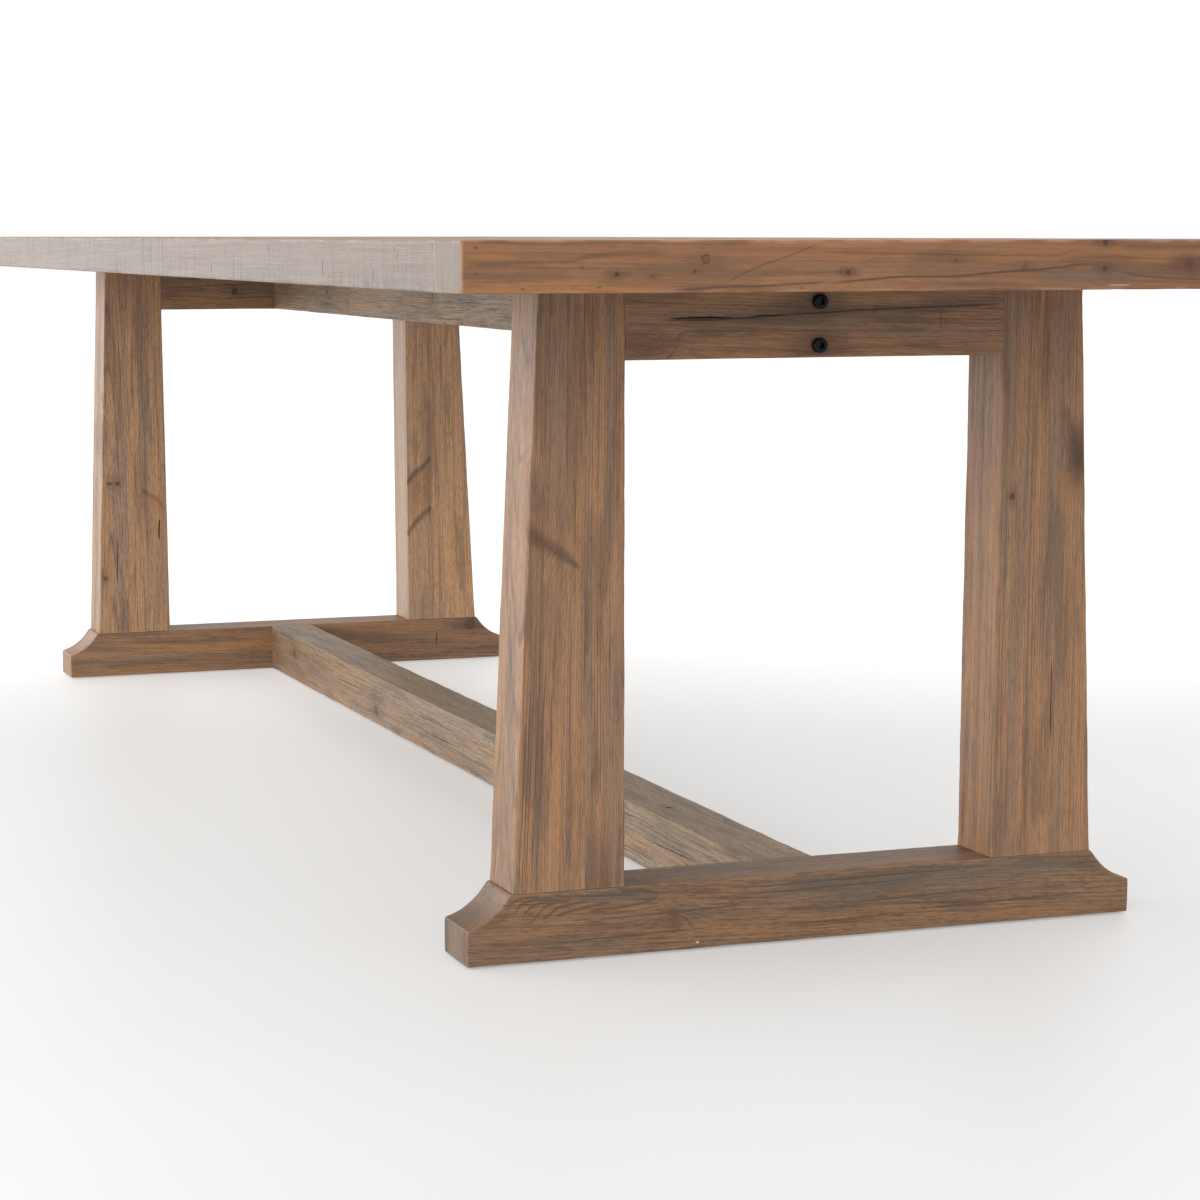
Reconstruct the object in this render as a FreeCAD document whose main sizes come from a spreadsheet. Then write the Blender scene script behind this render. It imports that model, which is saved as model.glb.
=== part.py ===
import FreeCAD, Part
import math
import os
import Sketcher

# Trestle dining table in solid pine, in millimetres.
# X runs along the table, Y across it and Z up. The origin is on the floor, under the middle of the top.
# Right and left are the ends at +X and -X, front and back the long sides at -Y and +Y.
# Each trestle is drawn around its own middle: the left one is the right one turned by half a turn.

# Driving sizes: alias, value, what it is
SIZES = (
    ("table_height", 762, "floor to the surface of the top"),
    ("top_length", 3048, "length of the top over the breadboard ends"),
    ("top_width", 1016, "width of the top"),
    ("top_thickness", 48, "thickness of planks and breadboard ends"),
    ("breadboard_width", 80, "width of a breadboard end, along the table"),
    ("tongue_length", 25, "tongue of a plank in the breadboard end"),
    ("tongue_thickness", 16, "thickness of that tongue"),
    ("tongue_inset", 30, "edge of the top to the first tongue"),
    ("tongue_clearance", 0.3, "room around the tongues in their groove"),
    ("spline_width", 30, "loose tongue between two planks"),
    ("spline_thickness", 10, "thickness of the loose tongue"),
    ("spline_inset", 60, "stretch without a groove at each end of a plank"),
    ("spline_clearance", 0.2, "room around the loose tongue"),
    ("seam_ease", 1.2, "chamfer along the seams of the top"),
    ("top_edge_ease", 2, "chamfer along the outer edges of the top"),
    ("end_overhang", 344, "end of the top to the outer face of a trestle"),
    ("side_overhang", 110, "edge of the top to the end of a foot"),
    ("timber_thickness", 82, "thickness of a trestle, along the table"),
    ("leg_gap", 440, "between the two posts of a trestle"),
    ("post_head_width", 96, "width of a post under the top"),
    ("post_base_width", 126, "width of a post on its foot"),
    ("inner_stave_width", 45, "width of the inner stave of a post"),
    ("post_ease", 2, "chamfer along the corners of a post"),
    ("glue_line_ease", 0.6, "chamfer on each side of a post's glue line"),
    ("post_tenon_thickness", 28, "tenon of a post in its foot"),
    ("post_tenon_length", 45, "depth of that tenon"),
    ("post_tenon_shoulder", 16, "shoulder at the two narrow sides of a post"),
    ("tenon_clearance", 0.3, "room around a tenon in its mortise"),
    ("foot_height", 75.5, "height of a foot above its pads"),
    ("foot_ease", 2, "chamfer along the edges of a foot"),
    ("cove_drop", 36.5, "height of the cove at the ends of a foot"),
    ("cove_reach", 48.4, "length of the cove"),
    ("cove_radius", 77, "radius of the cove"),
    ("toe_round", 4, "rounding at both ends of the cove"),
    ("pad_height", 2.5, "felt pad under a foot"),
    ("pad_radius", 14, "radius of a felt pad"),
    ("pad_inset", 40, "end of the foot to the middle of a pad"),
    ("rail_height", 76, "height of a rail between the posts"),
    ("rail_ease", 2, "chamfer along the lower edges of a rail"),
    ("rail_tenon_thickness", 28, "tenon of a rail in a post"),
    ("rail_tenon_height", 46, "height of that tenon"),
    ("rail_tenon_length", 34, "length of that tenon"),
    ("beam_height", 76, "height of the upper beam"),
    ("beam_thickness", 38, "thickness of the upper beam"),
    ("beam_ease", 2, "chamfer along the lower edges of the beam"),
    ("stretcher_width", 72, "width of the lower stretcher"),
    ("stretcher_height", 75.5, "height of the lower stretcher"),
    ("stretcher_ease", 2.5, "chamfer along the stretcher's edges"),
    ("stub_length", 34, "stub tenon of the stretcher in a foot"),
    ("stub_width", 40, "width of the stub tenon"),
    ("stub_height", 42, "height of the stub tenon"),
    ("bolt_diameter", 10, "bolt from a rail into the beam"),
    ("bolt_length", 130, "length of that bolt under its head"),
    ("bolt_head_diameter", 16, "head of that bolt"),
    ("bolt_head_height", 6, "height of its head"),
    ("bolt_head_ease", 0.6, "chamfer around its head"),
    ("bolt_socket", 7, "hexagon across flats in its head"),
    ("bolt_socket_depth", 3.5, "depth of that hexagon"),
    ("bolt_rise", 13, "underside of the beam to the lower bolt"),
    ("bolt_pitch", 46, "lower bolt to the upper bolt"),
    ("barrel_nut_diameter", 15, "barrel nut in the end of the beam"),
    ("barrel_nut_length", 30, "length of a barrel nut"),
    ("barrel_nut_setback", 44, "end of the beam to a barrel nut"),
    ("barrel_nut_slot", 1.6, "width and depth of its screwdriver slot"),
    ("screw_diameter", 8, "washer-head wood screw, up into the wood"),
    ("screw_head_diameter", 20, "washer head of the screw"),
    ("screw_head_height", 4.5, "height of the washer head"),
    ("screw_socket", 5, "hexagon across flats in the head"),
    ("screw_socket_depth", 2.5, "depth of that hexagon"),
    ("screw_recess_diameter", 23, "counterbore for a washer head"),
    ("top_screw_length", 80, "screw into the top, under its head"),
    ("top_screw_recess", 30, "counterbore in a rail"),
    ("top_screw_offset", 130, "middle of a rail to its screws"),
    ("top_screw_play", 7, "play across the table in a rail's slots"),
    ("stretcher_screw_length", 45, "screw into the stretcher, under its head"),
    ("stretcher_screw_recess", 7, "counterbore in the sole of a foot"),
    ("hole_room", 0.5, "radial room of a bolt or screw that passes through"),
    ("thread_room", 0.1, "radial room of a thread in a nut or in wood"),
    ("hole_overrun", 2, "how far a screw's or bolt's hole is deeper than it"),
    ("cut_overrun", 2, "how far a cut passes the face that it opens"),
)
PLANK_COUNT = 7
SOCKET_SIDES = 6
HALF_TURN = 180
FULL_TURN = 2 * HALF_TURN
# How far two places may differ and still count as one
SAME_PLACE = 1e-4

VECTOR = FreeCAD.Vector
UP = VECTOR(0, 0, 1)
ALONG = VECTOR(1, 0, 0)
ACROSS = VECTOR(0, 1, 0)

doc = FreeCAD.newDocument("DiningTable")
sheet = doc.addObject("Spreadsheet::Sheet", "Sizes")
for row, (alias, value, meaning) in enumerate(SIZES, start=1):
    sheet.set("A%d" % row, alias)
    sheet.set("B%d" % row, str(value))
    sheet.set("C%d" % row, meaning)
    sheet.setAlias("B%d" % row, alias)
doc.recompute()


def size(expression):
    """Give the present value of an expression in the sheet's aliases."""
    return float(sheet.evalExpression(expression))


def bound(expression):
    """Write an expression of aliases the way another object refers to the sheet."""
    words = []
    word = ""
    for letter in expression + " ":
        if letter.isalpha() or letter == "_":
            word += letter
            continue
        if word:
            words.append("Sizes." + word)
            word = ""
        words.append(letter)
    return "".join(words).strip()


def minus(expression):
    """Give the expression for the same distance the other way."""
    return "(0 - (%s))" % expression


# Places that several pieces share, as expressions of the driving sizes
UNDERSIDE = "(table_height - top_thickness)"
TRESTLE_FACE = "(top_length / 2 - end_overhang)"
TRESTLE_PLACE = "(%s - timber_thickness / 2)" % TRESTLE_FACE
PLANK_WIDTH = "(top_width / %d)" % PLANK_COUNT
PLANK_LENGTH = "(top_length - 2 * breadboard_width)"
SPLINE_LENGTH = "(%s - 2 * spline_inset)" % PLANK_LENGTH
FOOT_TOP = "(pad_height + foot_height)"
FOOT_END = "(top_width / 2 - side_overhang)"
HALF_TIMBER = "(timber_thickness / 2)"
POST_HEIGHT = "(%s - %s)" % (UNDERSIDE, FOOT_TOP)
POST_INSIDE = "(leg_gap / 2)"
GLUE_LINE = "(%s + inner_stave_width)" % POST_INSIDE
POST_HEAD = "(%s + post_head_width)" % POST_INSIDE
POST_BASE = "(%s + post_base_width)" % POST_INSIDE
TENON_START = "(%s + post_tenon_shoulder)" % POST_INSIDE
TENON_END = "(%s - post_tenon_shoulder)" % POST_BASE
RAIL_UNDERSIDE = "(%s - rail_height)" % UNDERSIDE
BEAM_UNDERSIDE = "(%s - beam_height)" % UNDERSIDE
BEAM_END = "(%s - timber_thickness)" % TRESTLE_FACE
LOWER_BOLT = "(%s + bolt_rise)" % BEAM_UNDERSIDE
UPPER_BOLT = "(%s + bolt_pitch)" % LOWER_BOLT
NUT_PLACE = "(%s - barrel_nut_setback)" % BEAM_END
STUB_RISE = "((stretcher_height - stub_height) / 2)"
STUB_MIDDLE = "(%s + stub_length / 2)" % BEAM_END
HOLE_RADIUS = "(screw_diameter / 2 + hole_room)"
PILOT_RADIUS = "(screw_diameter / 2 + thread_room)"
RECESS_RADIUS = "(screw_recess_diameter / 2)"
BELOW = minus("cut_overrun")

# Screws up into the top, seen from above: two through each rail
RAIL_SCREWS = ("top_screw_offset", minus("top_screw_offset"))
TOP_SCREWS = [(x, y) for x in (TRESTLE_PLACE, minus(TRESTLE_PLACE)) for y in RAIL_SCREWS]


def place(thing, x="0", y="0", z="0", turn=None):
    """Tie the place of a body or primitive to expressions, with an optional fixed turn."""
    if turn is not None:
        thing.Placement = FreeCAD.Placement(VECTOR(0, 0, 0), turn)
    for axis, expression in zip("xyz", (x, y, z)):
        if expression != "0":
            thing.setExpression(".Placement.Base." + axis, bound(expression))


def new_body(label):
    """Start a piece as a body that carries the name of its node."""
    body = doc.addObject("PartDesign::Body", label.title().replace("_", ""))
    body.Label = label
    return body


def outline(body, role, corners, hollows=None):
    """Draw a closed outline, counterclockwise through its corners, on one of the body's origin planes.

    corners are pairs of expressions. hollows names the sides that are hollow arcs, by the number of
    the corner that they start at, each with the expression of its radius.
    """
    sketch = body.newObject("Sketcher::SketchObject", body.Name + "Outline")
    plane = next(feature for feature in body.Origin.OriginFeatures if feature.Role == role)
    sketch.AttachmentSupport = [(plane, "")]
    sketch.MapMode = "FlatFace"
    sketch.Visibility = False
    hollows = hollows or {}
    points = [VECTOR(size(x), size(y), 0) for x, y in corners]
    count = len(points)
    for i, start in enumerate(points):
        end = points[(i + 1) % count]
        if i in hollows:
            sketch.addGeometry(hollow_arc(start, end, size(hollows[i])), False)
        else:
            sketch.addGeometry(Part.LineSegment(start, end), False)
    # An arc runs counterclockwise around its own middle, so a hollow one has its ends swapped
    first = [2 if i in hollows else 1 for i in range(count)]
    last = [1 if i in hollows else 2 for i in range(count)]
    for i, (x, y) in enumerate(corners):
        following = (i + 1) % count
        sketch.addConstraint(Sketcher.Constraint("Coincident", i, last[i], following, first[following]))
        for kind, expression in (("DistanceX", x), ("DistanceY", y)):
            constraint = Sketcher.Constraint(kind, -1, 1, i, first[i], size(expression))
            tie(sketch, constraint, "corner%d%s" % (i, kind), expression)
    for i, radius in hollows.items():
        tie(sketch, Sketcher.Constraint("Radius", i, size(radius)), "radius%d" % i, radius)
    return sketch


def tie(sketch, constraint, name, expression):
    """Add a named constraint that follows an expression of the driving sizes."""
    sketch.renameConstraint(sketch.addConstraint(constraint), name)
    sketch.setExpression("Constraints." + name, bound(expression))


def hollow_arc(start, end, radius):
    """Make the arc from one corner to the next whose middle lies outside the outline."""
    chord = end - start
    outward = VECTOR(chord.y, -chord.x, 0).normalize()
    middle = (start + end) / 2 + outward * math.sqrt(radius ** 2 - (chord.Length / 2) ** 2)
    angles = [math.atan2(point.y - middle.y, point.x - middle.x) for point in (end, start)]
    return Part.ArcOfCircle(Part.Circle(middle, UP, radius), *angles)


def rectangle(x_low, x_high, y_low, y_high):
    """Give the four corners of an upright rectangle, as expressions."""
    return ((x_low, y_low), (x_high, y_low), (x_high, y_high), (x_low, y_high))


def centred(width, y_low, y_high):
    """Give the corners of a rectangle that is centred on the upright axis, as expressions."""
    return rectangle(minus(width + " / 2"), width + " / 2", y_low, y_high)


def pad(body, sketch, length, both_sides=False):
    """Raise an outline by a length, or by half of it to each side."""
    feature = body.newObject("PartDesign::Pad", body.Name + "Pad")
    feature.Profile = sketch
    if both_sides:
        feature.SideType = "Symmetric"
    feature.setExpression("Length", bound(length))
    doc.recompute()
    return feature


def add_block(body, sides, corner):
    """Join a block, such as a tenon, to a body: its three sides, and its low corner."""
    block = body.newObject("PartDesign::AdditiveBox", body.Name + "Block")
    return finish(block, dict(zip(("Length", "Width", "Height"), sides)), corner, 1)


def cut_block(body, sides, corner):
    """Cut a block, such as a mortise, out of a body: its three sides, and its low corner."""
    block = body.newObject("PartDesign::SubtractiveBox", body.Name + "Recess")
    return finish(block, dict(zip(("Length", "Width", "Height"), sides)), corner, -1)


def bore(body, radius, length, start, axis=UP):
    """Bore a round hole from a point along an axis."""
    hole = body.newObject("PartDesign::SubtractiveCylinder", body.Name + "Bore")
    return finish(hole, {"Radius": radius, "Height": length}, start, -1, FreeCAD.Rotation(UP, axis))


def finish(feature, sizes, corner, sign, turn=None):
    """Size and place a primitive, and stop if it adds or takes away nothing."""
    before = feature.BaseFeature.Shape.Volume
    for name, expression in sizes.items():
        feature.setExpression(name, bound(expression))
    place(feature, *corner, turn)
    doc.recompute()
    if sign * (feature.Shape.Volume - before) <= 0:
        raise RuntimeError("%s changed nothing" % feature.Name)
    return feature


def ease(body, base, amount, chosen, kind="Chamfer"):
    """Chamfer or round the edges that a test picks."""
    names = ["Edge%d" % (i + 1) for i, edge in enumerate(base.Shape.Edges) if chosen(edge)]
    if not names:
        raise RuntimeError("no edges to ease on " + body.Label)
    feature = body.newObject("PartDesign::" + kind, body.Name + kind)
    feature.Base = (base, names)
    feature.setExpression("Radius" if kind == "Fillet" else "Size", bound(amount))
    doc.recompute()
    return feature


def on_level(edge, axis, *values):
    """Tell whether both ends of an edge lie at one of some values along an axis."""
    places = [getattr(vertex.Point, axis) for vertex in (edge.Vertexes[0], edge.Vertexes[-1])]
    return any(all(abs(found - value) < SAME_PLACE for found in places) for value in values)


def runs(edge, axis):
    """Tell whether an edge runs along an axis more than along the other two."""
    step = edge.Vertexes[-1].Point - edge.Vertexes[0].Point
    return abs(getattr(step, axis)) > step.Length / 2


def half_turn(way):
    """Give the turn of a piece at the right end (none) or at the left end (half a turn)."""
    return FreeCAD.Rotation(UP, 0 if way > 0 else HALF_TURN)


# Top

def make_plank(number):
    """Make one lengthwise plank with its end tongues, spline grooves and pilot holes."""
    body = new_body("top_plank_%d" % number)
    end = "%s / 2" % PLANK_LENGTH
    base = pad(body, outline(body, "XY_Plane", centred(PLANK_LENGTH, "0", PLANK_WIDTH)), "top_thickness")
    is_front, is_back = number == 1, number == PLANK_COUNT
    surface, sides = size("top_thickness"), {0: is_front, size(PLANK_WIDTH): is_back}
    seams = [side for side, outer in sides.items() if not outer]
    rims = [side for side, outer in sides.items() if outer]
    base = ease(body, base, "seam_ease", lambda e: on_level(e, "z", surface) and on_level(e, "y", *seams))
    if rims:
        ease(body, base, "top_edge_ease", lambda e: runs(e, "x") and on_level(e, "y", *rims))

    # The outermost tongues stop short of the edge of the top
    shorter = "%s - tongue_inset" % PLANK_WIDTH if rims else PLANK_WIDTH
    for start in (end, minus(end + " + tongue_length")):
        add_block(body, ("tongue_length", shorter, "tongue_thickness"),
                  (start, "tongue_inset" if is_front else "0", "(top_thickness - tongue_thickness) / 2"))
    groove = "(spline_width / 2 + spline_clearance)"
    for start, outer in ((BELOW, is_front), ("%s - %s" % (PLANK_WIDTH, groove), is_back)):
        if not outer:
            cut_block(body, (SPLINE_LENGTH, groove + " + cut_overrun",
                             "spline_thickness + 2 * spline_clearance"),
                      (minus("%s / 2" % SPLINE_LENGTH), start,
                       "(top_thickness - spline_thickness) / 2 - spline_clearance"))

    shift = "(%d * %s - top_width / 2)" % (number - 1, PLANK_WIDTH)
    for x, y in TOP_SCREWS:
        from_edge = "%s - %s" % (y, shift)
        if 0 < size(from_edge) < size(PLANK_WIDTH):
            bore(body, PILOT_RADIUS, "top_screw_length + top_screw_recess - rail_height"
                 " + hole_overrun + cut_overrun", (x, from_edge, BELOW))
    place(body, "0", shift, UNDERSIDE)
    return body


def make_spline(number):
    """Make the loose tongue between a plank and the next one."""
    body = new_body("top_spline_%d" % number)
    half = "spline_thickness / 2"
    sketch = outline(body, "YZ_Plane", centred("spline_width", minus(half), half))
    pad(body, sketch, SPLINE_LENGTH + " - 2 * spline_clearance", both_sides=True)
    place(body, "0", "%d * %s - top_width / 2" % (number, PLANK_WIDTH), "table_height - top_thickness / 2")
    return body


def make_breadboard(side, way):
    """Make the board across one end of the top, with the groove for the planks' tongues."""
    body = new_body(side + "_breadboard_end")
    half = "top_width / 2"
    base = pad(body, outline(body, "XY_Plane", rectangle("0", "breadboard_width", minus(half), half)),
               "top_thickness")
    surface, wide, rim = size("top_thickness"), size("breadboard_width"), size(half)
    base = ease(body, base, "seam_ease", lambda e: on_level(e, "x", 0) and on_level(e, "z", surface))
    ease(body, base, "top_edge_ease", lambda e: on_level(e, "x", wide) or (
        runs(e, "x") and on_level(e, "y", rim, -rim)))
    cut_block(body, ("tongue_length + tongue_clearance + cut_overrun",
                     "top_width - 2 * tongue_inset + 2 * tongue_clearance",
                     "tongue_thickness + 2 * tongue_clearance"),
              (BELOW, "tongue_inset - top_width / 2 - tongue_clearance",
               "(top_thickness - tongue_thickness) / 2 - tongue_clearance"))
    end = "%s / 2" % PLANK_LENGTH
    place(body, end if way > 0 else minus(end), "0", UNDERSIDE, half_turn(way))
    return body


# Trestles

def set_in_trestle(body, way, z):
    """Stand a piece of a trestle at its end of the table."""
    place(body, TRESTLE_PLACE if way > 0 else minus(TRESTLE_PLACE), "0", z, half_turn(way))
    return body


def low_side(near, far, hand):
    """Give the low end of a stretch between two distances from the middle, on one side of it."""
    return near if hand > 0 else minus(far)


def make_foot(side, way):
    """Make a foot: coved ends, and mortises and a screw hole."""
    body = new_body(side + "_foot")
    cove, toe = "(%s - cove_reach)" % FOOT_END, "(foot_height - cove_drop)"
    sketch = outline(body, "YZ_Plane", (
        (minus(FOOT_END), "0"), (FOOT_END, "0"), (FOOT_END, toe), (cove, "foot_height"),
        (minus(cove), "foot_height"), (minus(FOOT_END), toe)), {2: "cove_radius", 4: "cove_radius"})
    base = pad(body, sketch, "timber_thickness", both_sides=True)
    base = ease(body, base, "toe_round", lambda e: runs(e, "x") and not on_level(e, "z", 0), "Fillet")
    face = size(HALF_TIMBER)
    ease(body, base, "foot_ease", lambda e: on_level(e, "x", face, -face))

    room = "tenon_clearance"
    for hand in (1, -1):
        cut_block(body, ("post_tenon_thickness + 2 * " + room,
                         "%s - %s + 2 * %s" % (TENON_END, TENON_START, room),
                         "post_tenon_length + %s + cut_overrun" % room),
                  (minus("post_tenon_thickness / 2 + " + room),
                   "%s - %s" % (low_side(TENON_START, TENON_END, hand), room),
                   "foot_height - post_tenon_length - " + room))
    cut_block(body, ("stub_length + %s + cut_overrun" % room, "stub_width + 2 * " + room,
                     "stub_height + 2 * " + room),
              (minus(HALF_TIMBER + " + cut_overrun"), minus("stub_width / 2 + " + room),
               "%s - %s" % (STUB_RISE, room)))
    middle = "(stub_length - timber_thickness) / 2"
    bore(body, HOLE_RADIUS, STUB_RISE + " + 2 * cut_overrun", (middle, "0", BELOW))
    bore(body, RECESS_RADIUS, "stretcher_screw_recess + cut_overrun", (middle, "0", BELOW))
    return set_in_trestle(body, way, "pad_height")


def make_inner_stave(side, face, way, hand):
    """Make the inner stave of a post: straight, with the rail's mortise and part of the foot's tenon."""
    body = new_body("%s_%s_post_inner_stave" % (side, face))
    low, high = (POST_INSIDE, GLUE_LINE) if hand > 0 else (minus(GLUE_LINE), minus(POST_INSIDE))
    base = pad(body, outline(body, "YZ_Plane", rectangle(low, high, "0", POST_HEIGHT)),
               "timber_thickness", both_sides=True)
    inside, seam = hand * size(POST_INSIDE), hand * size(GLUE_LINE)
    base = ease(body, base, "post_ease", lambda e: runs(e, "z") and on_level(e, "y", inside))
    ease(body, base, "glue_line_ease", lambda e: runs(e, "z") and on_level(e, "y", seam))
    add_block(body, ("post_tenon_thickness", "%s - %s" % (GLUE_LINE, TENON_START), "post_tenon_length"),
              (minus("post_tenon_thickness / 2"), low_side(TENON_START, GLUE_LINE, hand),
               minus("post_tenon_length")))

    room = "tenon_clearance"
    depth = "(rail_tenon_length + %s)" % room
    cut_block(body, ("rail_tenon_thickness + 2 * " + room, depth + " + cut_overrun",
                     "rail_tenon_height + 2 * " + room),
              (minus("rail_tenon_thickness / 2 + " + room),
               low_side(POST_INSIDE + " - cut_overrun", "%s + %s" % (POST_INSIDE, depth), hand),
               "%s - (rail_height + rail_tenon_height) / 2 - %s" % (POST_HEIGHT, room)))
    return set_in_trestle(body, way, FOOT_TOP)


def make_outer_stave(side, face, way, hand):
    """Make the outer stave of a post: its outer face leans, and it has the rest of the foot's tenon."""
    body = new_body("%s_%s_post_outer_stave" % (side, face))
    corners = [(GLUE_LINE, "0"), (POST_BASE, "0"), (POST_HEAD, POST_HEIGHT), (GLUE_LINE, POST_HEIGHT)]
    if hand < 0:
        corners = [(minus(y), z) for y, z in reversed(corners)]
    base = pad(body, outline(body, "YZ_Plane", corners), "timber_thickness", both_sides=True)
    seam = hand * size(GLUE_LINE)
    base = ease(body, base, "post_ease", lambda e: runs(e, "z") and not on_level(e, "y", seam))
    ease(body, base, "glue_line_ease", lambda e: runs(e, "z") and on_level(e, "y", seam))
    add_block(body, ("post_tenon_thickness", "%s - %s" % (TENON_END, GLUE_LINE), "post_tenon_length"),
              (minus("post_tenon_thickness / 2"), low_side(GLUE_LINE, TENON_END, hand),
               minus("post_tenon_length")))
    return set_in_trestle(body, way, FOOT_TOP)


def make_rail(side, way):
    """Make the upper rail of a trestle, with a tenon at each end, bolt holes and slots for screws."""
    body = new_body(side + "_rail")
    sketch = outline(body, "XZ_Plane", centred("timber_thickness", "0", "rail_height"))
    base = pad(body, sketch, "leg_gap", both_sides=True)
    ease(body, base, "rail_ease", lambda e: runs(e, "y") and on_level(e, "z", 0))
    for start in (POST_INSIDE, minus(POST_INSIDE + " + rail_tenon_length")):
        add_block(body, ("rail_tenon_thickness", "rail_tenon_length", "rail_tenon_height"),
                  (minus("rail_tenon_thickness / 2"), start, "(rail_height - rail_tenon_height) / 2"))
    for z in (LOWER_BOLT, UPPER_BOLT):
        bore(body, "bolt_diameter / 2 + hole_room", "timber_thickness + 2 * cut_overrun",
             (minus(HALF_TIMBER + " + cut_overrun"), "0", "%s - %s" % (z, RAIL_UNDERSIDE)), ALONG)
    for y in RAIL_SCREWS:
        cut_slot(body, HOLE_RADIUS, "rail_height + 2 * cut_overrun", y)
        cut_slot(body, RECESS_RADIUS, "top_screw_recess + cut_overrun", y)
    return set_in_trestle(body, way, RAIL_UNDERSIDE)


def cut_slot(body, radius, depth, y):
    """Cut an upright slot from below, longer across the table than along it."""
    for shift in (" - top_screw_play / 2", " + top_screw_play / 2"):
        bore(body, radius, depth, ("0", y + shift, BELOW))
    cut_block(body, ("2 * " + radius, "top_screw_play", depth),
              (minus(radius), y + " - top_screw_play / 2", BELOW))


# Beam and stretcher

def make_beam():
    """Make the upper beam, with holes for the bolts and barrel nuts in its ends."""
    body = new_body("upper_beam")
    sketch = outline(body, "YZ_Plane", centred("beam_thickness", "0", "beam_height"))
    base = pad(body, sketch, "2 * " + BEAM_END, both_sides=True)
    ease(body, base, "beam_ease", lambda e: runs(e, "x") and on_level(e, "z", 0))
    depth = "(bolt_length - timber_thickness + hole_overrun)"
    for z in ("bolt_rise", "bolt_rise + bolt_pitch"):
        for start, nut in ((minus(BEAM_END + " + cut_overrun"), minus(NUT_PLACE)),
                           ("%s - %s" % (BEAM_END, depth), NUT_PLACE)):
            bore(body, "bolt_diameter / 2 + hole_room", depth + " + cut_overrun", (start, "0", z), ALONG)
            # A nut's hole is blind and opens at the back of the beam
            bore(body, "barrel_nut_diameter / 2 + thread_room",
                 "(beam_thickness + barrel_nut_length) / 2 + cut_overrun",
                 (nut, minus("barrel_nut_length / 2"), z), ACROSS)
    place(body, "0", "0", BEAM_UNDERSIDE)
    return body


def make_stretcher():
    """Make the lower stretcher, with a stub tenon and a pilot hole for its screw at each end."""
    body = new_body("lower_stretcher")
    sketch = outline(body, "YZ_Plane", centred("stretcher_width", "0", "stretcher_height"))
    base = pad(body, sketch, "2 * " + BEAM_END, both_sides=True)
    ease(body, base, "stretcher_ease", lambda e: runs(e, "x"))
    for start in (BEAM_END, minus(BEAM_END + " + stub_length")):
        add_block(body, ("stub_length", "stub_width", "stub_height"),
                  (start, minus("stub_width / 2"), STUB_RISE))
    for x in (STUB_MIDDLE, minus(STUB_MIDDLE)):
        bore(body, PILOT_RADIUS, "stretcher_screw_recess + stretcher_screw_length - %s"
             " + hole_overrun + cut_overrun" % STUB_RISE, (x, "0", STUB_RISE + " - cut_overrun"))
    place(body, "0", "0", "pad_height")
    return body


# Fasteners and pads

def turned(label, profile):
    """Turn a half profile, given as pairs of radius and height expressions, about the upright axis."""
    body = new_body(label)
    sketch = outline(body, "XZ_Plane", profile)
    feature = body.newObject("PartDesign::Revolution", body.Name + "Turning")
    feature.Profile = sketch
    feature.ReferenceAxis = (sketch, ["V_Axis"])
    feature.Angle = FULL_TURN
    doc.recompute()
    return body


def sink_socket(body, name):
    """Sink the hexagon socket of a bolt or screw into its head, from below."""
    socket = body.newObject("PartDesign::SubtractivePrism", body.Name + "Socket")
    socket.Polygon = SOCKET_SIDES
    # Across flats, a hexagon is narrower than over its corners
    socket.setExpression("Circumradius", "%s / (2 * cos(%d deg))" % (
        bound(name + "_socket"), HALF_TURN // SOCKET_SIDES))
    finish(socket, {"Height": name + "_socket_depth + cut_overrun"},
           ("0", "0", minus(name + "_head_height + cut_overrun")), -1)


def group(label, pattern, spots):
    """Make one node of equal pieces: copies of a pattern at a list of placements."""
    copies = []
    for spot in spots:
        copy = pattern.Shape.copy()
        copy.Placement = spot.multiply(copy.Placement)
        copies.append(copy)
    node = doc.addObject("Part::Feature", label.title().replace("_", ""))
    node.Shape = Part.makeCompound(copies)
    node.Label = label
    node.Placement = FreeCAD.Placement()
    return node


def spot(x, y, z, turn=None):
    """Give the placement at a place named by expressions."""
    return FreeCAD.Placement(VECTOR(size(x), size(y), size(z)), turn or FreeCAD.Rotation())


def make_beam_bolts():
    """Make the black bolts that pass through both rails into the beam."""
    head, top = "bolt_head_diameter / 2", minus("bolt_head_height")
    bolt = turned("pattern_of_a_bolt", (
        ("0", top), (head + " - bolt_head_ease", top), (head, top + " + bolt_head_ease"), (head, "0"),
        ("bolt_diameter / 2", "0"), ("bolt_diameter / 2", "bolt_length"), ("0", "bolt_length")))
    sink_socket(bolt, "bolt")
    faces = ((TRESTLE_FACE, -ALONG), (minus(TRESTLE_FACE), ALONG))
    return group("beam_bolts", bolt, [
        spot(x, "0", z, FreeCAD.Rotation(UP, inward)) for x, inward in faces for z in (LOWER_BOLT, UPPER_BOLT)])


def make_barrel_nuts():
    """Make the barrel nuts in the beam that the bolts draw on."""
    half = "barrel_nut_length / 2"
    nut = turned("pattern_of_a_barrel_nut", rectangle("0", "barrel_nut_diameter / 2", minus(half), half))
    start, through = minus("barrel_nut_diameter / 2 + cut_overrun"), "barrel_nut_diameter + 2 * cut_overrun"
    bore(nut, "bolt_diameter / 2 + thread_room", through, (start, "0", "0"), ALONG)
    cut_block(nut, (through, "barrel_nut_slot", "barrel_nut_slot + cut_overrun"),
              (start, minus("barrel_nut_slot / 2"), half + " - barrel_nut_slot"))
    return group("beam_barrel_nuts", nut, [
        spot(x, "0", z, FreeCAD.Rotation(UP, ACROSS)) for x in (NUT_PLACE, minus(NUT_PLACE))
        for z in (LOWER_BOLT, UPPER_BOLT)])


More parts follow.
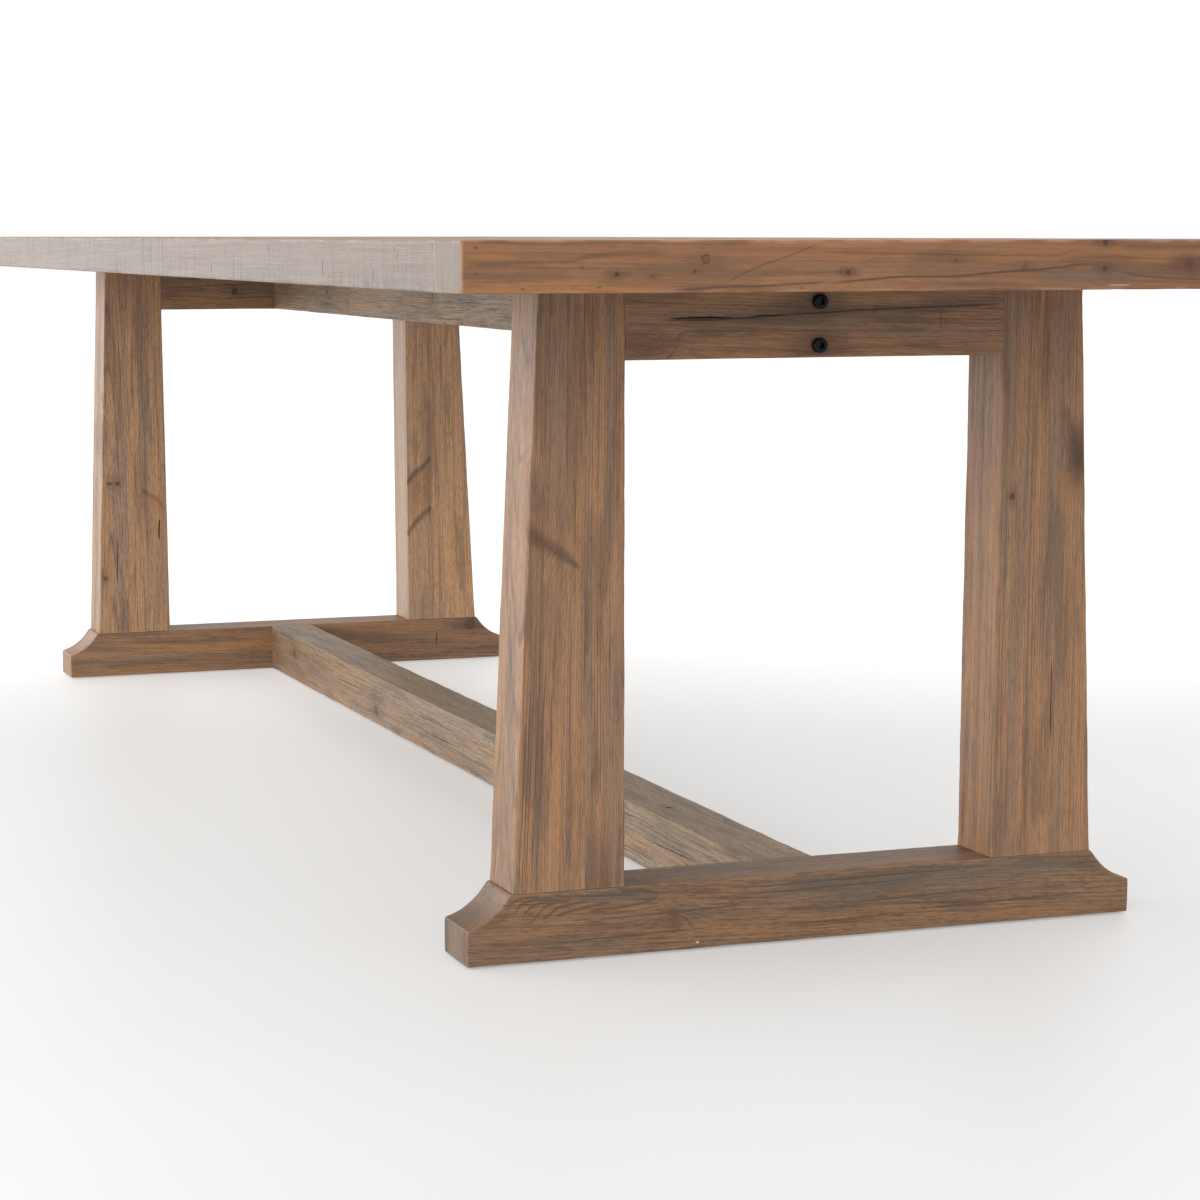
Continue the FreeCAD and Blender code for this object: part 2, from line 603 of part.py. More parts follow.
def make_screws(label, length, places):
    """Make a group of washer-head wood screws that point up, at places named by expressions."""
    head, shank, top = "screw_head_diameter / 2", "screw_diameter / 2", minus("screw_head_height")
    screw = turned("pattern_of_" + label, (
        ("0", top), (head, top), (head, "0"), (shank, "0"), (shank, length), ("0", length)))
    sink_socket(screw, "screw")
    return group(label, screw, [spot(*corner) for corner in places])


def make_pads():
    """Make the felt pads under both feet."""
    one = turned("pattern_of_a_pad", rectangle("0", "pad_radius", "0", "pad_height"))
    reach = "%s - pad_inset" % FOOT_END
    return group("foot_pads", one, [
        spot(x, y, "0") for x in (TRESTLE_PLACE, minus(TRESTLE_PLACE)) for y in (reach, minus(reach))])


nodes = [make_plank(number) for number in range(1, PLANK_COUNT + 1)]
nodes += [make_spline(number) for number in range(1, PLANK_COUNT)]
for side, way in (("right", 1), ("left", -1)):
    nodes += [make_breadboard(side, way), make_foot(side, way), make_rail(side, way)]
    # A trestle that is turned by half a turn has its front post where the other has its back post
    for face, hand in (("front", -way), ("back", way)):
        nodes += [make_inner_stave(side, face, way, hand), make_outer_stave(side, face, way, hand)]
nodes += [make_beam(), make_stretcher(), make_beam_bolts(), make_barrel_nuts()]
nodes.append(make_screws("top_screws", "top_screw_length", [
    (x, y, RAIL_UNDERSIDE + " + top_screw_recess") for x, y in TOP_SCREWS]))
nodes.append(make_screws("stretcher_screws", "stretcher_screw_length", [
    (x, "0", "pad_height + stretcher_screw_recess") for x in (STUB_MIDDLE, minus(STUB_MIDDLE))]))
nodes.append(make_pads())
doc.recompute()

for thing in doc.Objects:
    if "Invalid" in thing.State or "Error" in thing.State:
        raise RuntimeError("%s failed: %s" % (thing.Label, thing.State))
for node in nodes:
    if node.Shape.isNull() or not node.Shape.isValid():
        raise RuntimeError("%s has no valid shape" % node.Label)

os.makedirs("parts", exist_ok=True)
for node in nodes:
    node.Shape.exportStep(os.path.join("parts", node.Label + ".step"))
print("%d nodes written" % len(nodes))
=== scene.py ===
"""A long trestle dining table in reclaimed pine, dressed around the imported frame.

Every timber is meshed again with the worn edges, dents and checks of old wood, and its grain,
knots and patina are drawn through the solid timber by its material.
"""

import logging
import math
from dataclasses import dataclass, field
from enum import Enum

import bmesh
import bpy
import numpy as np
from mathutils import Euler, Matrix, Vector, noise


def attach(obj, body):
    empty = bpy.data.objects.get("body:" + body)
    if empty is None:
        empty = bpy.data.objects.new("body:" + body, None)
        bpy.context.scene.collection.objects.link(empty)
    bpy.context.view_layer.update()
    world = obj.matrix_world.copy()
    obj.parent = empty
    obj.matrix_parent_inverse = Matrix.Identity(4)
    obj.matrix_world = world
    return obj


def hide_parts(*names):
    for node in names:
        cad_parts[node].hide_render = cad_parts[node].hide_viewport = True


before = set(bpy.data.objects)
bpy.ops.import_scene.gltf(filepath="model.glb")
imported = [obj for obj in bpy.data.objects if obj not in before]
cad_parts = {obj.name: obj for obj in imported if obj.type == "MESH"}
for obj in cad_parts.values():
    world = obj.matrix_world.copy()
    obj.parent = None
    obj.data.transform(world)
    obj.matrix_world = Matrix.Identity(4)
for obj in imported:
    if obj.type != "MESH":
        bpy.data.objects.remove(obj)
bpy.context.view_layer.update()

LOG = logging.getLogger("dining_table")
MM = 0.001
BODY = "root"
# Heights over the floor in millimetres: the feet's soles and tops, the undersides of the rails and
# the beam and of the top, and the two bolts of each rail.
SOLE, FOOT_TOP, RAIL_UNDER, HEAD = 2.5, 78.0, 638.0, 714.0
BOLT_HEIGHTS = (651.0, 697.0)
# The dark line round a branch, and the shade inside a drying check.
BARK_LINE = "#2a1a13"
OPEN_CHECK = "#35241a"
# Faces that meet at more than this keep a crisp edge between them.
CRISP = math.radians(48)
# In millimetres: how far a chip spreads along its edge, how far from a butt joint the edges stay
# sharp, how wide the rubbed strip of an edge is, and how far in a point still counts as skin.
CHIP_REACH, BUTT_FADE, RUBBED, SKIN = 18.0, 12.0, 5.5, 0.6
# How far outside the wood the shapes start that cut cracks and holes, in millimetres.
CRACK_PROUD, HOLE_PROUD = 1.5, 3.0
# The property that sets the mode of each kind of node.
MODES = {"Math": "operation", "VectorMath": "operation", "MapRange": "interpolation_type",
         "Mix": "data_type", "Mapping": "vector_type"}

Point = tuple[float, float, float]
Tree = bpy.types.NodeTree
Socket = bpy.types.NodeSocket
# What feeds a socket: another one, or a number.
Level = Socket | float


class Run(Enum):
    """Which way a timber's grain runs, as the turn in degrees that lays the log's X along it."""

    LENGTH = (0.0, 0.0, 0.0)
    WIDTH = (0.0, 0.0, 90.0)
    UPRIGHT = (0.0, -90.0, 0.0)


class Mark(Enum):
    """What a stroke on the wood is, as the colour that it leaves there, the lowest layer first."""

    # Besides real marks, GREY and BARK also lay painted shade, and PALE a painted sheen, on some
    # timbers.
    GREY = "#6d6055"
    AMBER = "#a9744a"
    PALE = "#d9c6b2"
    BARK = "#402c1e"
    SCRATCH = "#4a3226"
    CRACK = "#1d120c"


def linear(code: str) -> tuple[float, float, float, float]:
    """Turns an sRGB hex colour into the linear one, with alpha, that a shader takes.

    Args:
        code: six hex digits with a leading hash.

    Returns:
        Red, green, blue and alpha.
    """
    parts = [int(code[i:i + 2], 16) / 255 for i in (1, 3, 5)]
    curve = [p / 12.92 if p <= 0.04045 else ((p + 0.055) / 1.055) ** 2.4 for p in parts]
    return (*curve, 1.0)


def add(tree: Tree, kind: str, inputs: dict | None = None, out: int = 0, **settings) -> Socket:
    """Adds a node to a tree, with its settings, values and links.

    Args:
        tree: the node tree that gets it.
        kind: the node's type without the ShaderNode in front, with its mode behind a dot.
        inputs: for each socket, by number or name, a value or the socket that feeds it.
        out: the number of the output that is returned.
        **settings: the node's own properties.

    Returns:
        The node's output socket, or the node itself where it has no output.
    """
    kind, _, mode = kind.partition(".")
    node = tree.nodes.new("ShaderNode" + kind)
    if mode:
        settings[MODES[kind]] = mode
    for key, value in settings.items():
        setattr(node, key, value)
    for key, value in (inputs or {}).items():
        if isinstance(value, Socket):
            tree.links.new(value, node.inputs[key])
        else:
            node.inputs[key].default_value = value
    return node.outputs[out] if len(node.outputs) else node


def emptied(owner: bpy.types.Material | bpy.types.World) -> Tree:
    """Clears the nodes of a material or world and returns its tree."""
    owner.use_nodes = True
    owner.node_tree.nodes.clear()
    return owner.node_tree


def stretched(tree: Tree, point: Socket, along_mm: float, across_mm: float, detail: float = 2.0,
              out: int = 0) -> Socket:
    """Draws noise that is as long and as wide as the wood's own streaks.

    Args:
        tree: the node tree that gets it.
        point: the place in the log, X along the grain, in metres.
        along_mm: length of a streak.
        across_mm: width of a streak.
        detail: how many finer layers lie on it.
        out: 0 for a number, 1 for three numbers.

    Returns:
        The noise, about 0.5 on average.
    """
    rates = (1 / (along_mm * MM), 1 / (across_mm * MM), 1 / (across_mm * MM))
    scaled = add(tree, "VectorMath.MULTIPLY", {0: point, 1: rates})
    return add(tree, "TexNoise", {"Vector": scaled, "Scale": 1.0, "Detail": detail,
                                  "Roughness": 0.55}, out=out)


class Pattern:
    """A node group that draws one feature of the wood, made once for all timbers.

    Attributes:
        name: the group's name.
        takes: each input's name and its kind, Float or Vector.
        gives: each output's name.
        tree: the group's nodes.
    """

    name: str
    takes: dict[str, str]
    gives: tuple[str, ...]

    def __init__(self) -> None:
        """Makes the group with its sockets, and links what it draws to them."""
        self.tree = tree = bpy.data.node_groups.new(self.name, "ShaderNodeTree")
        for label, kind in self.takes.items():
            tree.interface.new_socket(label, in_out="INPUT", socket_type="NodeSocket" + kind)
        for label in self.gives:
            tree.interface.new_socket(label, in_out="OUTPUT", socket_type="NodeSocketFloat")
        entry, result = tree.nodes.new("NodeGroupInput"), tree.nodes.new("NodeGroupOutput")
        answers = self.draw(tree, {label: entry.outputs[label] for label in self.takes})
        for label, answer in zip(self.gives, answers, strict=True):
            tree.links.new(answer, result.inputs[label])

    def draw(self, tree: Tree, given: dict[str, Socket]) -> tuple[Socket, ...]:
        """Draws the group's nodes from its inputs, and returns a socket for each output."""
        raise NotImplementedError


class GrainPattern(Pattern):
    """The figure of pine: yearly rings about the pith, fibres, and patches of stain and bleach."""

    name = "pine_grain"
    takes = {"Point": "Vector", "Swell": "Float", "Ring": "Float", "Bend": "Float",
             "Split": "Float"}
    gives = ("Latewood", "Fibre", "Patch", "Cloud", "Streak", "Pores", "Checks")

    def draw(self, tree: Tree, given: dict[str, Socket]) -> tuple[Socket, ...]:
        """Draws the rings, and the streaks of each length and width that pine has."""
        point = given["Point"]
        # A tree grows with long bends of about 20 mm in 900 mm, and small ones of 3 mm.
        for along, across, reach in ((900.0, 120.0, 0.024), (150.0, 26.0, 0.0034)):
            bend = stretched(tree, given["Point"], along, across, 1.0, out=1)
            level = add(tree, "VectorMath.SUBTRACT", {0: bend, 1: (0.5, 0.5, 0.5)})
            shift = add(tree, "VectorMath.MULTIPLY", {0: level, 1: (0.0, reach, reach)})
            shift = add(tree, "VectorMath.SCALE", {0: shift, "Scale": given["Bend"]})
            point = add(tree, "VectorMath.ADD", {0: point, 1: shift})
        flat = add(tree, "VectorMath.MULTIPLY", {0: point, 1: (0.0, 1.0, 1.0)})
        radius = add(tree, "VectorMath.LENGTH", {0: flat}, out=1)
        radius = add(tree, "Math.ADD", {0: radius, 1: given["Swell"]})
        even = add(tree, "Math.DIVIDE", {0: radius, 1: given["Ring"]})
        # Wet and dry years: the rings are wider and narrower in runs of about 25 mm.
        years = add(tree, "TexNoise", {"W": add(tree, "Math.MULTIPLY", {0: radius, 1: 40.0}),
                                       "Scale": 1.0, "Detail": 1.0}, noise_dimensions="1D")
        count = add(tree, "Math.MULTIPLY_ADD", {0: years, 1: 2.6, 2: even})
        year = add(tree, "Math.FLOOR", {0: count})
        season = add(tree, "Math.FRACT", {0: count})
        tone = add(tree, "TexWhiteNoise", {"W": year}, noise_dimensions="1D")
        ramp = add(tree, "ValToRGB", {0: season})
        stops = ramp.node.color_ramp.elements
        stops[0].position, stops[0].color = 0.0, (0.0, 0.0, 0.0, 1.0)
        stops[1].position, stops[1].color = 1.0, (0.0, 0.0, 0.0, 1.0)
        # Latewood darkens slowly through a summer and stops sharply in the autumn.
        for place, grey in ((0.66, 0.04), (0.88, 1.0), (0.95, 0.7)):
            stop = stops.new(place)
            stop.color = (grey, grey, grey, 1.0)
        strength = add(tree, "Math.MULTIPLY_ADD", {0: tone, 1: 0.6, 2: 0.4})
        late = add(tree, "Math.MULTIPLY", {0: ramp, 1: strength})
        # Drying checks: hair lines along the fibres, 170 mm long, about 5 mm apart.
        checks = stretched(tree, point, 170.0, 1.8, 1.0)
        checks = add(tree, "Math.SUBTRACT", {0: checks, 1: given["Split"]})
        checks = add(tree, "MapRange.SMOOTHSTEP", {0: checks, 1: 0.0, 2: 0.09})
        # How long and how wide each kind of streak is in millimetres, and its finer layers.
        streaks = ((240.0, 1.4, 3.0), (520.0, 22.0, 2.0), (170.0, 24.0, 3.0), (300.0, 5.0, 2.0),
                   (12.0, 1.1, 1.0))
        return late, *(stretched(tree, point, *sizes) for sizes in streaks), checks


class KnotPattern(Pattern):
    """A branch in the wood: a rod of dark end grain, its bark line and the swell round it."""

    name = "branch_knot"
    takes = {"Point": "Vector", "Centre": "Vector", "Axis": "Vector", "Radius": "Float",
             "Soft": "Float"}
    gives = ("Core", "Bark", "Swell", "Rings", "Halo")

    def draw(self, tree: Tree, given: dict[str, Socket]) -> tuple[Socket, ...]:
        """Draws the rod, its bark, its rings, and the stain and swell round it."""
        away = add(tree, "VectorMath.SUBTRACT", {0: given["Point"], 1: given["Centre"]})
        reach = add(tree, "VectorMath.DOT_PRODUCT", {0: away, 1: given["Axis"]}, out=1)
        on_axis = add(tree, "VectorMath.SCALE", {0: given["Axis"], "Scale": reach})
        across = add(tree, "VectorMath.SUBTRACT", {0: away, 1: on_axis})
        # The edge of a knot is never a true circle: it wanders by about a third of its radius.
        wander = add(tree, "TexNoise", {"Vector": given["Point"], "Scale": 190.0, "Detail": 3.0})
        distance = add(tree, "VectorMath.LENGTH", {0: across}, out=1)
        size = given["Radius"]
        ratio = add(tree, "Math.DIVIDE", {0: distance, 1: size})
        ratio = add(tree, "Math.MULTIPLY_ADD", {0: wander, 1: 1.3, 2: ratio})
        # The radius itself with half of that wander on it, and the bark just inside it.
        rim_at, bark_at = 1.65, 1.6
        outer = add(tree, "Math.ADD", {0: given["Soft"], 1: rim_at})
        inner = add(tree, "Math.SUBTRACT", {0: rim_at, 1: given["Soft"]})
        core = add(tree, "MapRange.SMOOTHSTEP", {0: ratio, 1: outer, 2: inner})
        rim = add(tree, "Math.SUBTRACT", {0: ratio, 1: bark_at})
        rim = add(tree, "Math.MULTIPLY", {0: rim, 1: rim})
        bark = add(tree, "MapRange.SMOOTHSTEP", {0: rim, 1: 0.03, 2: 0.0})
        long_way = add(tree, "VectorMath.MULTIPLY", {0: across, 1: (0.4, 1.0, 1.0)})
        spread = add(tree, "VectorMath.LENGTH", {0: long_way}, out=1)
        spread = add(tree, "Math.DIVIDE", {0: spread, 1: size})
        halo = add(tree, "MapRange.SMOOTHERSTEP", {0: spread, 1: 3.4, 2: 0.7})
        spread = add(tree, "Math.POWER", {0: spread, 1: 2.0})
        fall = add(tree, "Math.MULTIPLY", {0: spread, 1: -0.3})
        fall = add(tree, "Math.EXPONENT", {0: fall})
        swell = add(tree, "Math.MULTIPLY", {0: fall, 1: size})
        swell = add(tree, "Math.MULTIPLY", {0: swell, 1: 1.3})
        # A branch's own rings are about 1.6 mm apart.
        rings = add(tree, "Math.MULTIPLY", {0: distance, 1: 1 / (1.6 * MM)})
        rings = add(tree, "Math.FRACT", {0: rings})
        return core, bark, swell, rings, halo


class StrokePattern(Pattern):
    """A line on the wood between two points: a crack, a scratch or a rubbed place."""

    name = "stroke"
    takes = {"Point": "Vector", "Start": "Vector", "Way": "Vector", "Width": "Float",
             "Taper": "Float", "Soft": "Float"}
    gives = ("Line",)

    def draw(self, tree: Tree, given: dict[str, Socket]) -> tuple[Socket, ...]:
        """Draws the line from how far the place is from it."""
        away = add(tree, "VectorMath.SUBTRACT", {0: given["Point"], 1: given["Start"]})
        long_way = add(tree, "VectorMath.DOT_PRODUCT", {0: given["Way"], 1: given["Way"]}, out=1)
        done = add(tree, "VectorMath.DOT_PRODUCT", {0: away, 1: given["Way"]}, out=1)
        share = add(tree, "Math.DIVIDE", {0: done, 1: long_way}, use_clamp=True)
        foot = add(tree, "VectorMath.SCALE", {0: given["Way"], "Scale": share})
        apart = add(tree, "VectorMath.SUBTRACT", {0: away, 1: foot})
        distance = add(tree, "VectorMath.LENGTH", {0: apart}, out=1)
        # The width tapers off to a fifth at both ends.
        back = add(tree, "Math.SUBTRACT", {0: 1.0, 1: share})
        taper = add(tree, "Math.MULTIPLY", {0: share, 1: back})
        taper = add(tree, "Math.MULTIPLY_ADD", {0: taper, 1: 3.2, 2: 0.2})
        taper = add(tree, "MapRange", {0: given["Taper"], 3: 1.0, 4: taper})
        width = add(tree, "Math.MULTIPLY", {0: given["Width"], 1: taper})
        ratio = add(tree, "Math.DIVIDE", {0: distance, 1: width})
        inner = add(tree, "Math.SUBTRACT", {0: 0.5, 1: given["Soft"]})
        outer = add(tree, "Math.ADD", {0: 0.5, 1: given["Soft"]})
        return (add(tree, "MapRange.SMOOTHSTEP", {0: ratio, 1: outer, 2: inner}),)


GRAIN = GrainPattern()
KNOT = KnotPattern()
STROKE = StrokePattern()


@dataclass(frozen=True)
class Knot:
    """A branch knot in a timber, or with no swell a plug, a nail hole or the painted shadow round
    a bolt head.

    Attributes:
        at: where its axis meets the face, in millimetres.
        axis: the way the branch grew.
        radius: its radius at that place, in millimetres.
        dark: how dark its core is, from 0 to 1.
        swell: how much the grain bends round it.
        soft: how gently its core fades, from 0.1 to 0.8.
        halo: how far the wood round it is stained, from 0 to 1.
        rim: how dark its bark line is, from 0 to 1.
    """

    at: Point
    axis: Point
    radius: float
    dark: float = 0.8
    swell: float = 1.0
    soft: float = 0.3
    halo: float = 0.35
    rim: float = 0.4


@dataclass(frozen=True)
class Stroke:
    """A line on a timber between two points.

    Attributes:
        start: where it starts, in millimetres.
        end: where it ends.
        width: its width in its middle.
        kind: what it is.
        strength: how well it covers the wood, from 0 to 1.
        taper: 1 where it thins out towards its ends, 0 where it stays as wide.
        soft: how gently its sides fade, from 0.05 to 0.5.
        depth: how deep it is open, in millimetres. Zero is only a stain.
    """

    start: Point
    end: Point
    width: float
    kind: Mark = Mark.CRACK
    strength: float = 0.85
    taper: float = 1.0
    soft: float = 0.25
    depth: float = 0.0

    def line(self, tree: Tree, place: Socket, axes: bpy.types.Node) -> Socket:
        """Draws the line.

        Args:
            tree: the material's tree.
            place: the place on the table in metres.
            axes: the node that splits it into X, Y and Z, which a vein needs.

        Returns:
            A socket that is 1 on the line, times its strength.
        """
        way = Vector(self.end) - Vector(self.start)
        line = add(tree, "Group", {"Point": place, "Start": Vector(self.start) * MM,
                                   "Way": way * MM, "Width": self.width * MM, "Taper": self.taper,
                                   "Soft": self.soft}, node_tree=STROKE.tree)
        return add(tree, "Math.MULTIPLY", {0: line, 1: self.strength})


def drawn(face: float, *rows: tuple) -> list[Stroke]:
    """Strokes on a face that looks along X, from rows whose ends are Y and Z alone."""
    return [Stroke((face, *start), (face, *end), *rest) for start, end, *rest in rows]


@dataclass(frozen=True)
class Vein:
    """A line that wanders through a timber along Y, rising and falling.

    Attributes:
        spots: the places that it passes, as Y and Z in millimetres, with Y rising.
        width: its width.
        strength: how well it covers the wood, from 0 to 1.
        soft: how gently its sides fade.
        kind: what it is.
    """

    spots: tuple[tuple[float, float], ...]
    width: float
    strength: float
    soft: float = 0.4
    kind: Mark = Mark.BARK

    def line(self, tree: Tree, place: Socket, axes: bpy.types.Node) -> Socket:
        """Draws the line.

        Args:
            tree: the material's tree.
            place: the place on the table in metres, which only a stroke needs.
            axes: the node that splits it into X, Y and Z.

        Returns:
            A socket that is 1 on the line, times its strength.
        """
        first, last = self.spots[0][0], self.spots[-1][0]
        low = min(z for _, z in self.spots)
        tall = max(max(z for _, z in self.spots) - low, 0.5)
        share = add(tree, "MapRange", {0: axes.outputs["Y"], 1: first * MM, 2: last * MM})
        curve = add(tree, "FloatCurve", {"Value": share})
        points = curve.node.mapping.curves[0].points
        for k, (y, z) in enumerate(self.spots):
            place = ((y - first) / (last - first), (z - low) / tall)
            if 0 < k < len(self.spots) - 1:
                points.new(*place)
            else:
                points[0 if k == 0 else len(points) - 1].location = place
        curve.node.mapping.update()
        level = add(tree, "Math.MULTIPLY_ADD", {0: curve, 1: tall * MM, 2: low * MM})
        apart = add(tree, "Math.SUBTRACT", {0: axes.outputs["Z"], 1: level})
        apart = add(tree, "Math.ABSOLUTE", {0: apart})
        line = add(tree, "MapRange.SMOOTHSTEP", {0: apart, 1: self.width * MM * (0.5 + self.soft),
                                                 2: self.width * MM * (0.5 - self.soft)})
        # It fades out over the last tenth of its length at each end.
        fade = add(tree, "Math.SUBTRACT", {0: share, 1: 0.5})
        fade = add(tree, "Math.ABSOLUTE", {0: fade})
        fade = add(tree, "MapRange", {0: fade, 1: 0.5, 2: 0.4, 3: 0.0, 4: self.strength})
        return add(tree, "Math.MULTIPLY", {0: line, 1: fade})


Line = Stroke | Vein


@dataclass(frozen=True)
class Pine:
    """A finish of the reclaimed pine: planed, washed and waxed old softwood.

    Old pine weathers to grey between amber streaks, and its dense latewood stays dark. The wax
    leaves it nearly matte, with a soft sheen at a low angle.

    Attributes:
        name: the finish's name.
        earlywood, latewood, bleached, amber, smoke: the colours of the soft and the hard part of
            a yearly ring, and of the bleached, resinous and smoke-stained streaks.
        knot, rubbed, sawn: the colours of a branch's core, of rubbed edges and of saw marks.
        ring_mm: the width of a yearly ring.
        bend: how much the log bent as it grew.
        contrast, bleach, glow, smoked, clouded, fibre, checked: how strongly the latewood, the
            three kinds of streak, the clouds of stain, the fibres and the checks show, 0 to 1.
        worn: how pale the worn edges are rubbed, from 0 to 1.
        roughness: how matte it is.
        relief_mm: how high the hard fibres stand.
        saw_mm: the distance between saw marks, or 0 where it was planed.
    """

    name: str
    earlywood: str
    latewood: str
    bleached: str
    amber: str
    smoke: str
    knot: str = "#3c2317"
    rubbed: str = "#b08d6f"
    sawn: str = "#80746a"
    ring_mm: float = 3.0
    bend: float = 0.5
    contrast: float = 0.7
    bleach: float = 0.6
    glow: float = 0.6
    smoked: float = 0.35
    clouded: float = 0.45
    fibre: float = 0.15
    checked: float = 0.5
    split: float = 0.66
    worn: float = 0.35
    roughness: float = 0.5
    relief_mm: float = 0.35
    saw_mm: float = 0.0


@dataclass
class Side:
    """A flat side of a timber.

    Attributes:
        point: a place on it, in millimetres.
        normal: the way it faces, of length 1.
        butts: whether it butts against another timber, so that its edges stay sharp.
    """

    point: np.ndarray
    normal: np.ndarray
    butts: bool = False

    def depth(self, points: np.ndarray) -> np.ndarray:
        """How far inside this side each point lies."""
        return (self.point - points) @ self.normal

    def outward(self, points: np.ndarray) -> np.ndarray:
        """The way out of the wood through this side, for each point."""
        return np.broadcast_to(self.normal, points.shape)


@dataclass
class Cove:
    """The hollow that is cut along the end of a foot, about an axis along X.

    Attributes:
        centre: a point on the axis, in millimetres.
        radius: the hollow's radius.
        butts: as for a flat side.
    """

    centre: np.ndarray
    radius: float
    butts: bool = False

    def depth(self, points: np.ndarray) -> np.ndarray:
        """How far inside the wood each point lies from the hollow's surface."""
        away = (points - self.centre)[:, 1:]
        return np.linalg.norm(away, axis=1) - self.radius

    def outward(self, points: np.ndarray) -> np.ndarray:
        """The way out of the wood into the hollow, for each point."""
        away = self.centre - points
        away[:, 0] = 0.0
        return away / np.linalg.norm(away, axis=1, keepdims=True)


def stations(length: float, cell: float, rim: tuple[float, ...]) -> np.ndarray:
    """Places the cuts of a mesh along one edge, close together near both ends.

    Args:
        length: the edge's length in millimetres.
        cell: the width of the cells in its middle.
        rim: the first cuts' distances from each end.

    Returns:
        The cuts as shares of the length, from 0 to 1.
    """
    first = np.array(rim)
    middle_length = length - 2 * first[-1]
    count = max(1, round(middle_length / cell))
    middle = first[-1] + middle_length * np.arange(1, count) / count
    return np.concatenate([first, middle, length - first[::-1]]) / length


def stand(name: str, data: bpy.types.ID) -> bpy.types.Object:
    """Puts an object with this data into the scene and returns it."""
    thing = bpy.data.objects.new(name, data)
    bpy.context.scene.collection.objects.link(thing)
    return thing


def tool_object(points: list[Point], faces: list[tuple[int, ...]]) -> bpy.types.Object:
    """Makes a closed shape that is only there to be cut out of a timber.

    Args:
        points: its points in metres.
        faces: its faces' corners.

    Returns:
        The shape's object, with its faces turned outwards.
    """
    mesh = bpy.data.meshes.new("tool")
    mesh.from_pydata(points, [], faces)
    shape = bmesh.new()
    shape.from_mesh(mesh)
    bmesh.ops.recalc_face_normals(shape, faces=shape.faces)
    shape.to_mesh(mesh)
    shape.free()
    return stand("tool", mesh)


def carve(piece: bpy.types.Object, tools: list[bpy.types.Object]) -> None:
    """Cuts shapes out of a piece and removes them.

    Args:
        piece: the piece that is cut.
        tools: the shapes that are cut out of it.
    """
    for tool in tools:
        cut = piece.modifiers.new("cut", "BOOLEAN")
        cut.operation, cut.solver, cut.object = "DIFFERENCE", "EXACT", tool
    graph = bpy.context.evaluated_depsgraph_get()
    carved = bpy.data.meshes.new_from_object(piece.evaluated_get(graph), depsgraph=graph)
    old = piece.data
    piece.modifiers.clear()
    piece.data = carved
    carved.name = old.name
    bpy.data.meshes.remove(old)
    for tool in tools:
        shape = tool.data
        bpy.data.objects.remove(tool)
        bpy.data.meshes.remove(shape)


def enlist(piece: bpy.types.Object, node: str) -> bpy.types.Object:
    """Lets a piece stand for its part of the frame.

    Args:
        piece: the finished piece.
        node: the part of the frame that it stands for.

    Returns:
        The piece.
    """
    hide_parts(node)
    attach(piece, BODY)
    LOG.info("%s: %d faces", piece.name, len(piece.data.polygons))
    return piece


@dataclass(frozen=True)
class Bore:
    """A round or slotted hole for a fastener.

    Attributes:
        mouth: the middle of its mouth, in millimetres.
        axis: the way out of the wood.
        radius: its radius.
        depth: how deep it is.
        slot: how much longer than wide it is, along Y.
    """

    mouth: Point
    axis: Point
    radius: float
    depth: float
    slot: float = 0.0

    def tool(self) -> bpy.types.Object:
        """Makes the shape that cuts the hole."""
        out = Vector(self.axis)
        one = Vector((0.0, 1.0, 0.0)) if abs(out.y) < 0.5 else Vector((1.0, 0.0, 0.0))
        two = out.cross(one)
        count = 32
        points = []
        for level in (HOLE_PROUD, -self.depth):
            for i in range(count):
                angle = math.tau * i / count
                shift = math.copysign(self.slot / 2, math.cos(angle))
                spot = (Vector(self.mouth) + out * level
                        + one * (self.radius * math.cos(angle) + shift)
                        + two * self.radius * math.sin(angle))
                points.append(tuple(spot * MM))
        sides = [(i, (i + 1) % count, count + (i + 1) % count, count + i) for i in range(count)]
        caps = [tuple(range(count)), tuple(range(2 * count - 1, count - 1, -1))]
        return tool_object(points, sides + caps)


